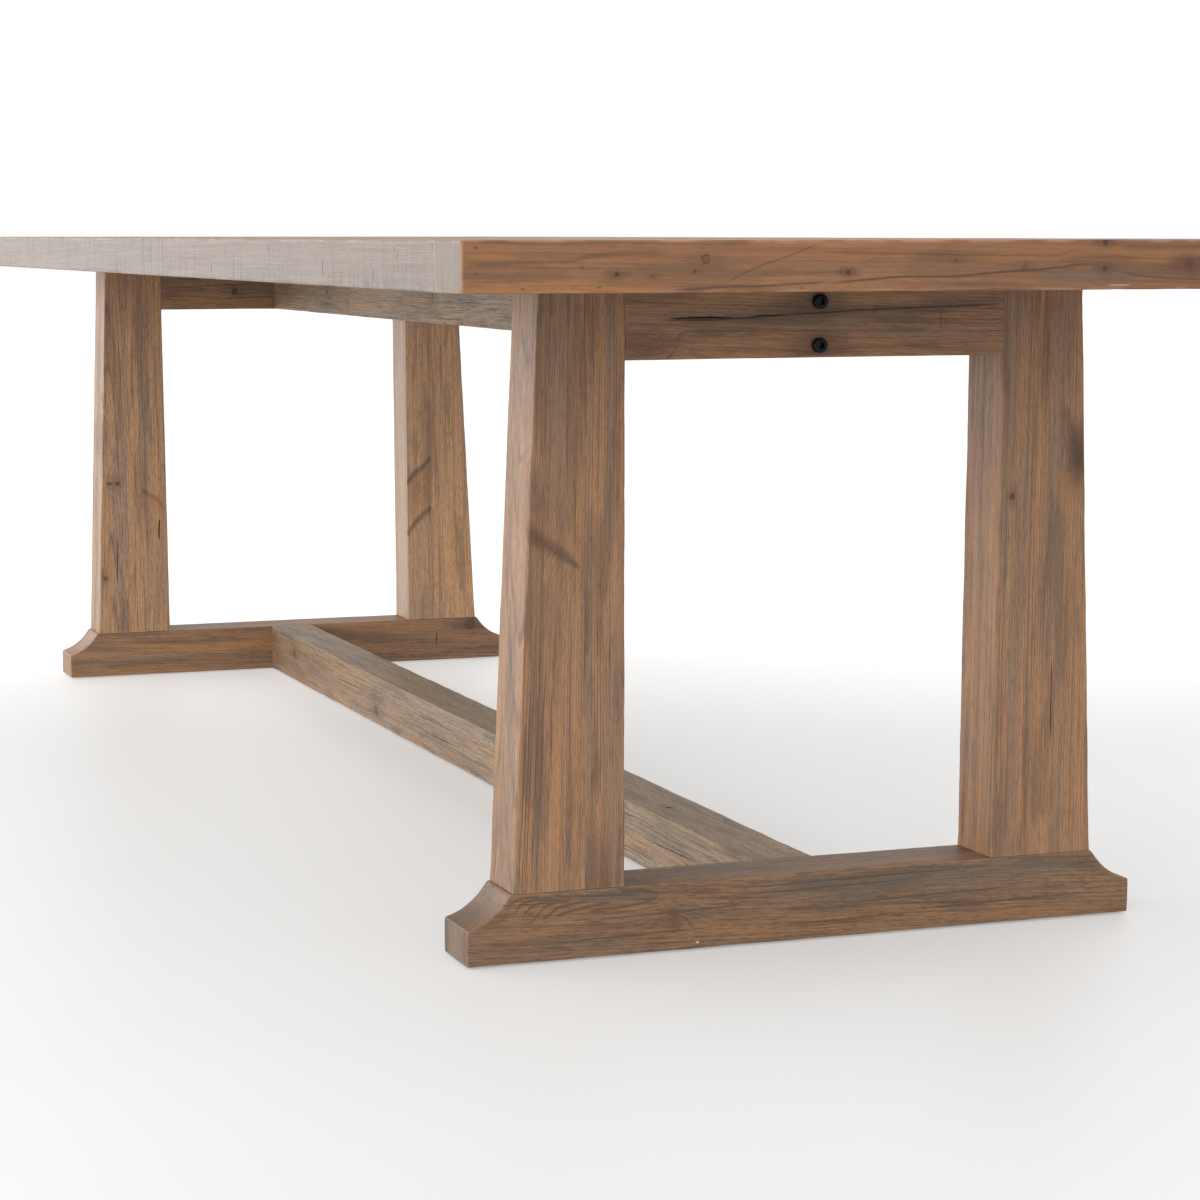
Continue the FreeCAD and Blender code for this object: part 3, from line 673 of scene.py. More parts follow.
@dataclass
class Timber:
    """One timber of the table, meshed with worn edges and dressed in its own pine.

    Sizes are in millimetres, as the table stands.

    Attributes:
        name: the piece's name.
        node: the part of the frame that it stands for.
        low: its lowest corner.
        high: its highest corner.
        run: the way of its grain.
        pith: a point on the middle line of the log that it was sawn from.
        finish: its pine.
        tilt: the grain's lean in degrees about the two axes across it.
        butts: the sides that butt against other timbers, such as "+x".
        knots: its knots, plugs and nail holes.
        strokes: its cracks, scratches, stains and veins.
        bores: the holes for its fasteners.
        chips: the places on its edges where splinters broke away, and how deep.
        wear: the radius that its edges are worn to.
        cell: the width of its mesh's cells along its length.
        sawn: the sides that keep their saw marks.
        tone: how light its wood is beside its neighbours': a log's own tone on the top's planks,
            painted shade on the rails and painted light on the left trestle's back staves.
        slot: the name of a material slot; it is not used.
    """

    name: str
    node: str
    low: Point
    high: Point
    run: Run
    pith: Point
    finish: Pine
    tilt: tuple[float, float] = (0.0, 0.0)
    butts: str = ""
    knots: list[Knot] = field(default_factory=list)
    strokes: list[Line] = field(default_factory=list)
    bores: list[Bore] = field(default_factory=list)
    chips: list[tuple[Point, float]] = field(default_factory=list)
    wear: float = 1.9
    cell: float = 14.0
    sawn: str = ""
    tone: float = 1.0
    slot: str = "trestles"

    def sides(self) -> list[Side | Cove]:
        """Lists the timber's sides, which its edges lie between."""
        found = []
        for axis, letter in enumerate("xyz"):
            for sign, corner in ((-1.0, self.low), (1.0, self.high)):
                normal = np.zeros(3)
                normal[axis] = sign
                label = ("-" if sign < 0 else "+") + letter
                found.append(Side(np.array(corner), normal, label in self.butts.split()))
        return found

    def shape(self, share: np.ndarray) -> np.ndarray:
        """Places the mesh's points, from each one's share of the way along X, Y and Z."""
        return np.array(self.low) + share * (np.array(self.high) - np.array(self.low))

    def cuts(self) -> list[np.ndarray]:
        """Places the mesh's cuts along X, Y and Z."""
        rim = (0.0, 0.35 * self.wear, 0.8 * self.wear, 1.5 * self.wear, 2.6 * self.wear)
        spans = [high - low for low, high in zip(self.low, self.high)]
        longest = max(spans)
        return [stations(span, self.cell if span == longest else 1.6 * self.cell, rim)
                for span in spans]

    def shell(self) -> tuple[np.ndarray, list[tuple[int, ...]]]:
        """Makes the closed skin of quads.

        Returns:
            Each point's share along X, Y and Z, and the quads' corners.
        """
        cuts = self.cuts()
        counts = [len(c) for c in cuts]
        index: dict[tuple[int, int, int], int] = {}
        quads: list[tuple[int, ...]] = []
        for axis in range(3):
            one, two = (axis + 1) % 3, (axis + 2) % 3
            for end in (0, counts[axis] - 1):
                for i in range(counts[one] - 1):
                    for j in range(counts[two] - 1):
                        ring = [(i, j), (i + 1, j), (i + 1, j + 1), (i, j + 1)]
                        if end == 0:
                            ring.reverse()
                        corners = []
                        for a, b in ring:
                            key = [0, 0, 0]
                            key[axis], key[one], key[two] = end, a, b
                            corners.append(index.setdefault(tuple(key), len(index)))
                        quads.append(tuple(corners))
        share = np.array([[cuts[k][key[k]] for k in range(3)] for key in index])
        return share, quads

    def weather(self, points: np.ndarray) -> tuple[np.ndarray, dict[str, np.ndarray]]:
        """Wears the edges and lowers the faces, never outwards.

        Args:
            points: the sharp timber's points in millimetres.

        Returns:
            The worn points, and how worn and how sawn each one is, from 0 to 1.
        """
        sides = self.sides()
        depths = np.array([side.depth(points) for side in sides])
        seed = Vector((sum(map(ord, self.name)) * 1.7, 3.0, 5.0))
        spots = [Vector(p) for p in points]
        # Knocks wore the edges in dents of about 55 and 17 mm, and the faces in 140 mm hollows.
        coarse, fine, broad = (np.array([noise.noise(p / size + seed) for p in spots])
                               for size in (55.0, 17.0, 140.0))
        radius = self.wear * np.clip(0.9 + 0.75 * coarse + 0.45 * fine, 0.4, 1.9)
        for place, deep in self.chips:
            apart = np.linalg.norm(points - np.array(place), axis=1)
            radius = radius + deep * np.exp(-(apart / CHIP_REACH) ** 2) * (1.0 + fine)
        for side, depth in zip(sides, depths):
            if side.butts:
                radius *= np.clip(depth / BUTT_FADE, 0.12, 1.0)
        reach = np.maximum(radius - depths, 0.0)
        push = np.zeros_like(points)
        for side, amount in zip(sides, reach):
            push += side.outward(points) * amount[:, None]
        length = np.sqrt((reach ** 2).sum(axis=0))
        inside = np.maximum(length - radius, 0.0)
        outward = push / np.maximum(np.linalg.norm(push, axis=1), 1e-9)[:, None]
        # The faces sank by up to 0.3 mm where the soft wood was brushed out.
        hollow = 0.22 * np.clip(0.5 + broad + 0.5 * coarse, 0.0, 1.4)
        worn = points - outward * (inside + hollow)[:, None]
        near = np.sort(np.clip(1.0 - depths / RUBBED, 0.0, 1.0), axis=0)[-2]
        skin = np.zeros(len(points))
        for side, depth, label in zip(sides, depths, ("-x", "+x", "-y", "+y", "-z", "+z")):
            if label in self.sawn.split():
                skin = np.maximum(skin, (np.abs(depth) < SKIN).astype(float))
        return worn, {"worn": near * np.clip(0.6 + 1.2 * coarse + 0.8 * fine, 0.0, 1.0),
                      "sawn": skin}

    def make(self) -> bpy.types.Object:
        """Makes the timber's mesh, dresses it and cuts its holes.

        Returns:
            The timber.
        """
        share, quads = self.shell()
        points, marks = self.weather(self.shape(share))
        mesh = bpy.data.meshes.new(self.name)
        mesh.from_pydata([tuple(p) for p in points * MM], [], quads)
        for label, values in marks.items():
            layer = mesh.attributes.new(label, "FLOAT", "POINT")
            layer.data.foreach_set("value", values.astype(np.float32))
        mesh.shade_smooth()
        piece = stand(self.name, mesh)
        mesh.materials.append(PineMaterial(self).build())
        tools = [self.slit(stroke) for stroke in self.strokes
                 if isinstance(stroke, Stroke) and stroke.depth > 0]
        tools += [bore.tool() for bore in self.bores]
        if tools:
            carve(piece, tools)
            piece.data.set_sharp_from_angle(angle=CRISP)
        return piece

    def build(self) -> bpy.types.Object:
        """Makes the timber, lets it stand for its part of the frame and returns it."""
        return enlist(self.make(), self.node)

    def slit(self, stroke: Stroke) -> bpy.types.Object:
        """Makes the wedge that opens a crack.

        Args:
            stroke: the crack.

        Returns:
            The wedge, to be cut out of the timber.
        """
        start, end = np.array(stroke.start), np.array(stroke.end)
        middle = ((start + end) / 2)[None, :]
        side = min(self.sides(), key=lambda s: abs(float(s.depth(middle)[0])))
        out = side.outward(middle)[0]
        way = end - start
        across = np.cross(way / np.linalg.norm(way), out)
        count = 14
        points: list[Point] = []
        # A crack wavers as it follows the fibres over 16 mm, and its lips are torn every 6 mm.
        for i in range(count + 1):
            share = i / count
            swelling = math.sqrt(max(4 * share * (1 - share), 0.004))
            spot = start + way * share
            waver = noise.noise(Vector(spot) / 16.0) * 0.7 * stroke.width
            half = stroke.width / 2 * swelling * (1.0 + 0.5 * noise.noise(Vector(spot) / 6.0))
            spot = spot + across * waver
            points += [tuple(spot + across * half + out * CRACK_PROUD),
                       tuple(spot - across * half + out * CRACK_PROUD),
                       tuple(spot - out * stroke.depth * swelling)]
        faces: list[tuple[int, ...]] = [(2, 1, 0), tuple(3 * count + k for k in range(3))]
        for i in range(count):
            for k in range(3):
                a, b = 3 * i + k, 3 * i + (k + 1) % 3
                faces.append((a, b, b + 3, a + 3))
        return tool_object([tuple(c * MM for c in p) for p in points], faces)


@dataclass
class OuterStave(Timber):
    """The outer stave of a post, whose outer side leans in towards the top.

    Attributes:
        head: how far from the table's middle the outer side is at the top.
    """

    head: float = 316.0

    def outer(self) -> float:
        """The way of the leaning side: 1 at the back and -1 at the front."""
        return 1.0 if self.low[1] > 0 else -1.0

    def sides(self) -> list[Side | Cove]:
        """Lists the sides, with the leaning one in place of the upright one."""
        found = super().sides()
        toe = self.high[1] if self.outer() > 0 else -self.low[1]
        rise = self.high[2] - self.low[2]
        lean = np.array([0.0, self.outer() * rise, toe - self.head])
        at = 3 if self.outer() > 0 else 2
        base = np.array([self.low[0], self.outer() * toe, self.low[2]])
        found[at] = Side(base, lean / np.linalg.norm(lean))
        return found

    def shape(self, share: np.ndarray) -> np.ndarray:
        """Places the mesh's points, drawn in towards the top on the leaning side."""
        points = super().shape(share)
        inner = self.low[1] if self.outer() > 0 else self.high[1]
        toe = self.high[1] if self.outer() > 0 else self.low[1]
        tip = self.outer() * self.head
        scale = ((toe - inner) + (tip - toe) * share[:, 2]) / (toe - inner)
        points[:, 1] = inner + (points[:, 1] - inner) * scale
        return points


@dataclass
class CovedFoot(Timber):
    """A foot, whose top falls to the toe at each end in a hollow cove.

    Attributes:
        brow: how far from the middle the cove starts at the top.
        toe: how high the toe's upper edge is.
        hollow: the cove's radius.
    """

    brow: float = 349.6
    toe: float = 41.5
    hollow: float = 77.0

    def centre(self, way: float) -> np.ndarray:
        """Finds the cove's axis.

        Args:
            way: 1 for the cove at the back, -1 for the one at the front.

        Returns:
            A point on the axis in millimetres.
        """
        top, end = self.high[2], self.high[1]
        across, down = end - self.brow, top - self.toe
        half = math.hypot(across, down) / 2
        out = math.sqrt(self.hollow ** 2 - half ** 2)
        y = (self.brow + end) / 2 + out * down / (2 * half)
        z = (top + self.toe) / 2 + out * across / (2 * half)
        return np.array([self.low[0], way * y, z])

    def sides(self) -> list[Side | Cove]:
        """Lists the sides, with the two coves."""
        return super().sides() + [Cove(self.centre(way), self.hollow) for way in (-1.0, 1.0)]

    def cuts(self) -> list[np.ndarray]:
        """Places the cuts, with enough of them along the coves for a round hollow."""
        found = super().cuts()
        reach = self.high[1]
        cove = np.linspace(self.brow, reach - 6.0, 14)
        brow = self.brow - 1.5
        plain = [y for y in found[1] * 2 * reach - reach
                 if abs(y) < self.brow - 3.0 or abs(y) > reach - 6.0]
        places = sorted({round(y, 4) for y in (*plain, *cove, *(-cove), brow, -brow)})
        found[1] = (np.array(places) + reach) / (2 * reach)
        return found

    def shape(self, share: np.ndarray) -> np.ndarray:
        """Places the mesh's points, under the fall of the coves."""
        points = super().shape(share)
        centre = self.centre(1.0)
        out = np.clip(np.abs(points[:, 1]) - self.brow, 0.0, None)
        arc = centre[2] - np.sqrt(np.maximum(
            self.hollow ** 2 - (self.brow + out - centre[1]) ** 2, 0.0))
        top = np.where(out > 0, np.minimum(arc, self.high[2]), self.high[2])
        points[:, 2] = self.low[2] + share[:, 2] * (top - self.low[2])
        return points


@dataclass
class PineMaterial:
    """Draws a timber's pine through its solid, in the place that it was sawn from the log.

    Attributes:
        timber: the timber that it dresses.
    """

    timber: Timber

    def log_frame(self) -> tuple[Matrix, Euler, Vector]:
        """The turn from the log to the table, its angles, and the pith's place in metres."""
        lean_one, lean_two = (math.radians(t) for t in self.timber.tilt)
        run = Euler([math.radians(a) for a in self.timber.run.value]).to_matrix()
        lean = Euler((0.0, lean_one, lean_two)).to_matrix()
        turn = run @ lean
        return turn, turn.to_euler(), Vector(self.timber.pith) * MM

    def build(self) -> bpy.types.Material:
        """Makes the material.

        Returns:
            The timber's own material.
        """
        pine = self.timber.finish
        material = bpy.data.materials.new(f"{pine.name}_{self.timber.name}")
        tree = emptied(material)
        turn, angles, pith = self.log_frame()
        place = add(tree, "TexCoord", out=3)
        log = add(tree, "Mapping.TEXTURE", {"Vector": place, "Location": pith, "Rotation": angles})
        knots = self.knots(tree, log, turn, pith)
        figure = add(tree, "Group", {"Point": log, "Swell": knots["Swell"],
                                     "Ring": pine.ring_mm * MM, "Bend": pine.bend,
                                     "Split": pine.split}, node_tree=GRAIN.tree).node.outputs
        colour = self.colour(tree, figure, knots)
        colour, saw = self.saw_marks(tree, place, colour)
        cracks, colour = self.strokes(tree, place, colour)
        colour = self.rub(tree, colour)
        fine = add(tree, "Math.ADD", {0: figure["Fibre"], 1: figure["Pores"]})
        rough = add(tree, "MapRange", {0: fine, 1: 0.6, 2: 1.4, 3: pine.roughness + 0.1,
                                       4: pine.roughness - 0.1})
        # Brushing wore the soft wood away, so latewood and saw marks stand up and cracks lie deep.
        relief = figure["Fibre"]
        for layer, height in ((figure["Latewood"], 0.6), (figure["Checks"], -1.2),
                              (figure["Pores"], 0.5), (cracks, -3.0), (saw, 1.2)):
            relief = add(tree, "Math.MULTIPLY_ADD", {0: layer, 1: height, 2: relief})
        bump = add(tree, "Bump", {"Height": relief, "Strength": 0.6,
                                  "Distance": pine.relief_mm * MM})
        shader = add(tree, "BsdfPrincipled", {"Base Color": colour, "Roughness": rough,
                                              "Normal": bump, "IOR": 1.5})
        add(tree, "OutputMaterial", {"Surface": shader})
        return material

    def knots(self, tree: Tree, log: Socket, turn: Matrix, pith: Vector) -> dict[str, Socket]:
        """Draws the timber's knots.

        Args:
            tree: the material's tree.
            log: the place in the log.
            turn: the turn from the log to the table.
            pith: the pith's place in metres.

        Returns:
            The swell of the rings, the knots' cores, bark lines, rings and halos, by name.
        """
        totals = dict.fromkeys(("Swell", "Core", "Bark", "Rings", "Halo"), 0.0)
        back = turn.transposed()
        for knot in self.timber.knots:
            branch = add(tree, "Group", {
                "Point": log, "Centre": back @ (Vector(knot.at) * MM - pith),
                "Axis": back @ Vector(knot.axis).normalized(), "Radius": knot.radius * MM,
                "Soft": knot.soft}, node_tree=KNOT.tree).node.outputs
            weights = (knot.swell, knot.dark, knot.rim, branch["Core"], knot.halo)
            for label, weight in zip(totals, weights):
                totals[label] = add(tree, "Math.MULTIPLY_ADD", {0: branch[label], 1: weight,
                                                                2: totals[label]})
        return totals

    def colour(self, tree: Tree, figure: dict[str, Socket], knots: dict[str, Socket]) -> Socket:
        """Mixes the wood's colour from its figure and knots.

        Args:
            tree: the material's tree.
            figure: the grain's outputs by name.
            knots: what the knots drew, by name.

        Returns:
            The colour's socket.
        """
        pine = self.timber.finish
        late = add(tree, "Math.MULTIPLY", {0: figure["Latewood"], 1: pine.contrast})
        colour = add(tree, "Mix.RGBA", {0: late, 6: linear(pine.earlywood),
                                        7: linear(pine.latewood)}, out=2)
        for low, high, amount, tint, source in (
                (0.50, 0.60, pine.bleach, pine.bleached, "Patch"),
                (0.49, 0.39, pine.glow, pine.amber, "Patch"),
                (0.50, 0.62, pine.clouded, pine.smoke, "Cloud"),
                (0.46, 0.34, 0.7 * pine.glow, pine.amber, "Streak"),
                (0.54, 0.66, pine.smoked, pine.smoke, "Streak")):
            share = add(tree, "MapRange.SMOOTHSTEP", {0: figure[source], 1: low, 2: high, 3: 0.0,
                                                      4: amount})
            colour = add(tree, "Mix.RGBA", {0: share, 6: colour, 7: linear(tint)}, out=2)
        fibre = add(tree, "MapRange", {0: figure["Fibre"], 1: 0.3, 2: 0.7,
                                       3: 1.0 - 1.3 * pine.fibre, 4: 1.0 + pine.fibre})
        colour = add(tree, "VectorMath.SCALE", {0: colour, "Scale": fibre})
        # The tone scales the colour; on the top's planks it is a log's own, on the rails painted
        # shade and on some staves painted light.
        tone = self.timber.tone
        pores = add(tree, "MapRange", {0: figure["Pores"], 1: 0.3, 2: 0.55,
                                       3: (1.0 - 1.6 * pine.fibre) * tone,
                                       4: (1.0 + 0.5 * pine.fibre) * tone})
        colour = add(tree, "VectorMath.SCALE", {0: colour, "Scale": pores})
        checks = add(tree, "Math.MULTIPLY", {0: figure["Checks"], 1: pine.checked})
        colour = add(tree, "Mix.RGBA", {0: checks, 6: colour, 7: linear(OPEN_CHECK)}, out=2)
        if self.timber.knots:
            inner = add(tree, "MapRange", {0: knots["Rings"], 1: 0.0, 2: 1.0, 3: 1.0, 4: 0.75})
            for cover, weight, tint in ((knots["Halo"], 1.0, pine.latewood),
                                        (knots["Core"], inner, pine.knot),
                                        (knots["Bark"], 0.75, BARK_LINE)):
                share = add(tree, "Math.MULTIPLY", {0: cover, 1: weight}, use_clamp=True)
                colour = add(tree, "Mix.RGBA", {0: share, 6: colour, 7: linear(tint)}, out=2)
        return colour

    def strokes(self, tree: Tree, place: Socket, colour: Socket) -> tuple[Level, Socket]:
        """Draws the timber's cracks, scratches and rubbed places.

        Args:
            tree: the material's tree.
            place: the place on the table in metres.
            colour: the colour so far.

        Returns:
            How deep the cracks are, and the colour.
        """
        covers: dict[Mark, Level] = {}
        wavered: dict[float, tuple[Socket, bpy.types.Node]] = {}
        for stroke in self.timber.strokes:
            # A line wavers by half a millimetre, as wood tears along its fibres, a stain by 3 mm.
            reach = 0.012 if stroke.width > 8 else 0.002
            if reach not in wavered:
                waver = add(tree, "TexNoise", {"Vector": place, "Scale": 28.0, "Detail": 3.0},
                            out=1)
                waver = add(tree, "VectorMath.SUBTRACT", {0: waver, 1: (0.5, 0.5, 0.5)})
                moved = add(tree, "VectorMath.MULTIPLY_ADD", {0: waver, 1: (reach,) * 3, 2: place})
                wavered[reach] = moved, add(tree, "SeparateXYZ", {0: moved}).node
            covers[stroke.kind] = add(tree, "Math.MAXIMUM", {0: stroke.line(tree, *wavered[reach]),
                                                             1: covers.get(stroke.kind, 0.0)})
        for kind in Mark:
            if kind in covers:
                colour = add(tree, "Mix.RGBA", {0: covers[kind], 6: colour, 7: linear(kind.value)},
                             out=2)
        return covers.get(Mark.CRACK, 0.0), colour

    def saw_marks(self, tree: Tree, place: Socket, colour: Socket) -> tuple[Socket, Level]:
        """Draws the marks that a band saw leaves across the grain, about 3 mm apart.

        Args:
            tree: the material's tree.
            place: the place on the table in metres.
            colour: the colour so far.

        Returns:
            The colour and the height of the marks.
        """
        pine = self.timber.finish
        if pine.saw_mm <= 0:
            return colour, 0.0
        marks = stretched(tree, place, pine.saw_mm, 80.0, 3.0)
        where = add(tree, "Attribute", out=2, attribute_name="sawn")
        height = add(tree, "Math.MULTIPLY", {0: marks, 1: where})
        share = add(tree, "MapRange", {0: marks, 1: 0.36, 2: 0.56, 3: 0.84, 4: 0.94})
        share = add(tree, "Math.MULTIPLY", {0: share, 1: where})
        colour = add(tree, "Mix.RGBA", {0: share, 6: colour, 7: linear(pine.sawn)}, out=2)
        # Dust sits in the deeper marks, so they show as fine dark lines.
        dust = add(tree, "MapRange", {0: marks, 1: 0.36, 2: 0.54, 3: 0.6, 4: 1.03})
        zones = add(tree, "MapRange", {0: stretched(tree, place, 190.0, 70.0, 1.0), 1: 0.36,
                                       2: 0.62, 3: 0.15, 4: 1.0})
        zones = add(tree, "Math.MULTIPLY", {0: zones, 1: where})
        dust = add(tree, "Mix", {0: zones, 2: 1.0, 3: dust})
        colour = add(tree, "VectorMath.SCALE", {0: colour, "Scale": dust})
        return colour, height

    def rub(self, tree: Tree, colour: Socket) -> Socket:
        """Rubs the worn edges paler.

        Args:
            tree: the material's tree.
            colour: the colour so far.

        Returns:
            The colour.
        """
        pine = self.timber.finish
        worn = add(tree, "Attribute", out=2, attribute_name="worn")
        share = add(tree, "MapRange.SMOOTHSTEP", {0: worn, 1: 0.25, 2: 0.95, 3: 0.0, 4: pine.worn})
        return add(tree, "Mix.RGBA", {0: share, 6: colour, 7: linear(pine.rubbed)}, out=2)


@dataclass(frozen=True)
class PlainFinish:
    """A plain material with a fine grain: steel, black oxide or felt.

    Attributes:
        name: the material's common name and finish.
        colour: its colour.
        second: the colour of its specks.
        metallic: 1 for bare metal.
        roughness: how matte it is.
        grain_mm: the size of its specks.
        relief_mm: how high they stand.
    """

    name: str
    colour: str
    second: str
    metallic: float
    roughness: float
    grain_mm: float
    relief_mm: float

    def material(self) -> bpy.types.Material:
        """Makes the material."""
        material = bpy.data.materials.new(self.name)
        tree = emptied(material)
        place = add(tree, "TexCoord", out=3)
        specks = add(tree, "TexNoise", {"Vector": place, "Scale": 1 / (self.grain_mm * MM),
                                        "Detail": 3.0})
        colour = add(tree, "Mix.RGBA", {0: specks, 6: linear(self.colour), 7: linear(self.second)},
                     out=2)
        rough = add(tree, "MapRange", {0: specks, 1: 0.2, 2: 0.8, 3: self.roughness - 0.08,
                                       4: self.roughness + 0.08})
        bump = add(tree, "Bump", {"Height": specks, "Strength": 0.5,
                                  "Distance": self.relief_mm * MM})
        shader = add(tree, "BsdfPrincipled", {"Base Color": colour, "Roughness": rough,
                                              "Metallic": self.metallic, "Normal": bump})
        add(tree, "OutputMaterial", {"Surface": shader})
        return material


# Black oxide on steel: a thin, slightly oily skin that stays dark and takes a soft highlight.
BLACK_OXIDE = PlainFinish("black_oxide_steel", "#17171a", "#232326", 0.92, 0.3, 0.8, 0.01)
# Zinc plate on steel: cool grey with a soft shine.
ZINC_PLATE = PlainFinish("zinc_plated_steel", "#a9acad", "#8c8f90", 1.0, 0.38, 1.2, 0.02)
# Pressed wool felt, dark brown: matte, with fibres that stand up about half a millimetre.
FELT = PlainFinish("brown_felt", "#2e2620", "#4a3d33", 0.0, 0.92, 0.7, 0.4)
# Planed pine of the loose tongues, pale because no light reaches it.
PLANED_PINE = PlainFinish("planed_pine", "#b08b62", "#9a7650", 0.0, 0.6, 6.0, 0.1)

# Red pine cut on the flat, planed and waxed: warm, nearly even, with broad soft rings.
END_BOARD = Pine("waxed_red_pine", "#976745", "#68422a", "#7d6248", "#a87443", "#5f4430",
                 knot="#24160f", ring_mm=7.0, bend=1.0, contrast=0.4, bleach=0.3, glow=0.45,
                 smoked=0.3, clouded=0.45, fibre=0.08, checked=0.15, rubbed="#c9a184",
                 worn=0.4, relief_mm=0.15, saw_mm=3.2)
# Pine washed by years of wiping: paler, with saw marks left on its edges.
TOP_BOARD = Pine("washed_pine", "#a58264", "#6d4d3a", "#95836f", "#b28359", "#6a5342",
                 ring_mm=5.0, bend=0.8, bleach=0.5, glow=0.45, rubbed="#c4b09a", saw_mm=3.2,
                 relief_mm=0.3)
# Brushed and stained pine: mid brown, its late wood standing out dark.
TRESTLE = Pine("brushed_brown_pine", "#a57c5c", "#523a2b", "#846f5c", "#ae8057", "#604c3c",
               bleach=0.5)
# The same, drawn paler to paint in light on the far trestle, and with its rings showing more.
PALE_TRESTLE = Pine("brushed_pale_pine", "#b9906f", "#5f4739", "#9a8572", "#c1966b", "#6c5747",
                    contrast=0.8, bleach=0.5, fibre=0.2)
# Brushed pine, dull brown and rough, in wide bent rings; its colours are darker and greyer than
# the posts' to paint in the shade on the foot.
FOOT = Pine("brushed_grey_pine", "#8c6b4d", "#44322a", "#766453", "#956d4b", "#54473b",
            ring_mm=4.6, bend=1.2, bleach=0.4, fibre=0.2, relief_mm=0.45)
# Sawn roof timber, only waxed: grey brown with open drying checks.
BEAM = Pine("sawn_brown_pine", "#a18567", "#5b4835", "#938470", "#a4805c", "#5f5142",
            ring_mm=3.2, bleach=0.5, fibre=0.2, checked=0.65, split=0.61, relief_mm=0.6)
# The same, bleached where it had lain in the sun.
LIGHT_BEAM = Pine("bleached_sawn_pine", "#ae9479", "#6b5645", "#9d8e7c", "#ac8b67", "#6b5d4f",
                  ring_mm=3.2, bleach=0.5, fibre=0.2, checked=0.65, split=0.61, relief_mm=0.6)


def scattered(seed: int, count: int, low: Point, high: Point, run: Run, face: str,
              pith: Point, largest: float = 9.0) -> list[Knot]:
    """Scatters knots over a side of a timber, each on its own way out from the pith.

    Args:
        seed: the number that settles where they fall.
        count: how many there are.
        low: the timber's lowest corner.
        high: its highest corner.
        run: the way of its grain.
        face: the side, such as "+z".
        pith: a point on the pith.
        largest: the largest radius.

    Returns:
        The knots.
    """
    dice = np.random.default_rng(seed)
    axis = "xyz".index(face[1])
    along = {Run.LENGTH: 0, Run.WIDTH: 1, Run.UPRIGHT: 2}[run]
    found = []
    for i in range(count):
        share = dice.uniform(0.08, 0.92, 3)
        share[along] = (i + dice.uniform(0.15, 0.85)) / count
        spot = np.array(low) + share * (np.array(high) - np.array(low))
        spot[axis] = high[axis] if face[0] == "+" else low[axis]
        way = spot - np.array(pith)
        way[along] = 0.25 * np.linalg.norm(way) * dice.uniform(-1.0, 1.0)
        radius = largest * dice.uniform(0.3, 1.0) ** 1.5
        found.append(Knot(tuple(spot), tuple(way), radius, dark=dice.uniform(0.45, 0.85),
                          swell=dice.uniform(0.8, 1.5), soft=0.2, rim=0.5))
    return found


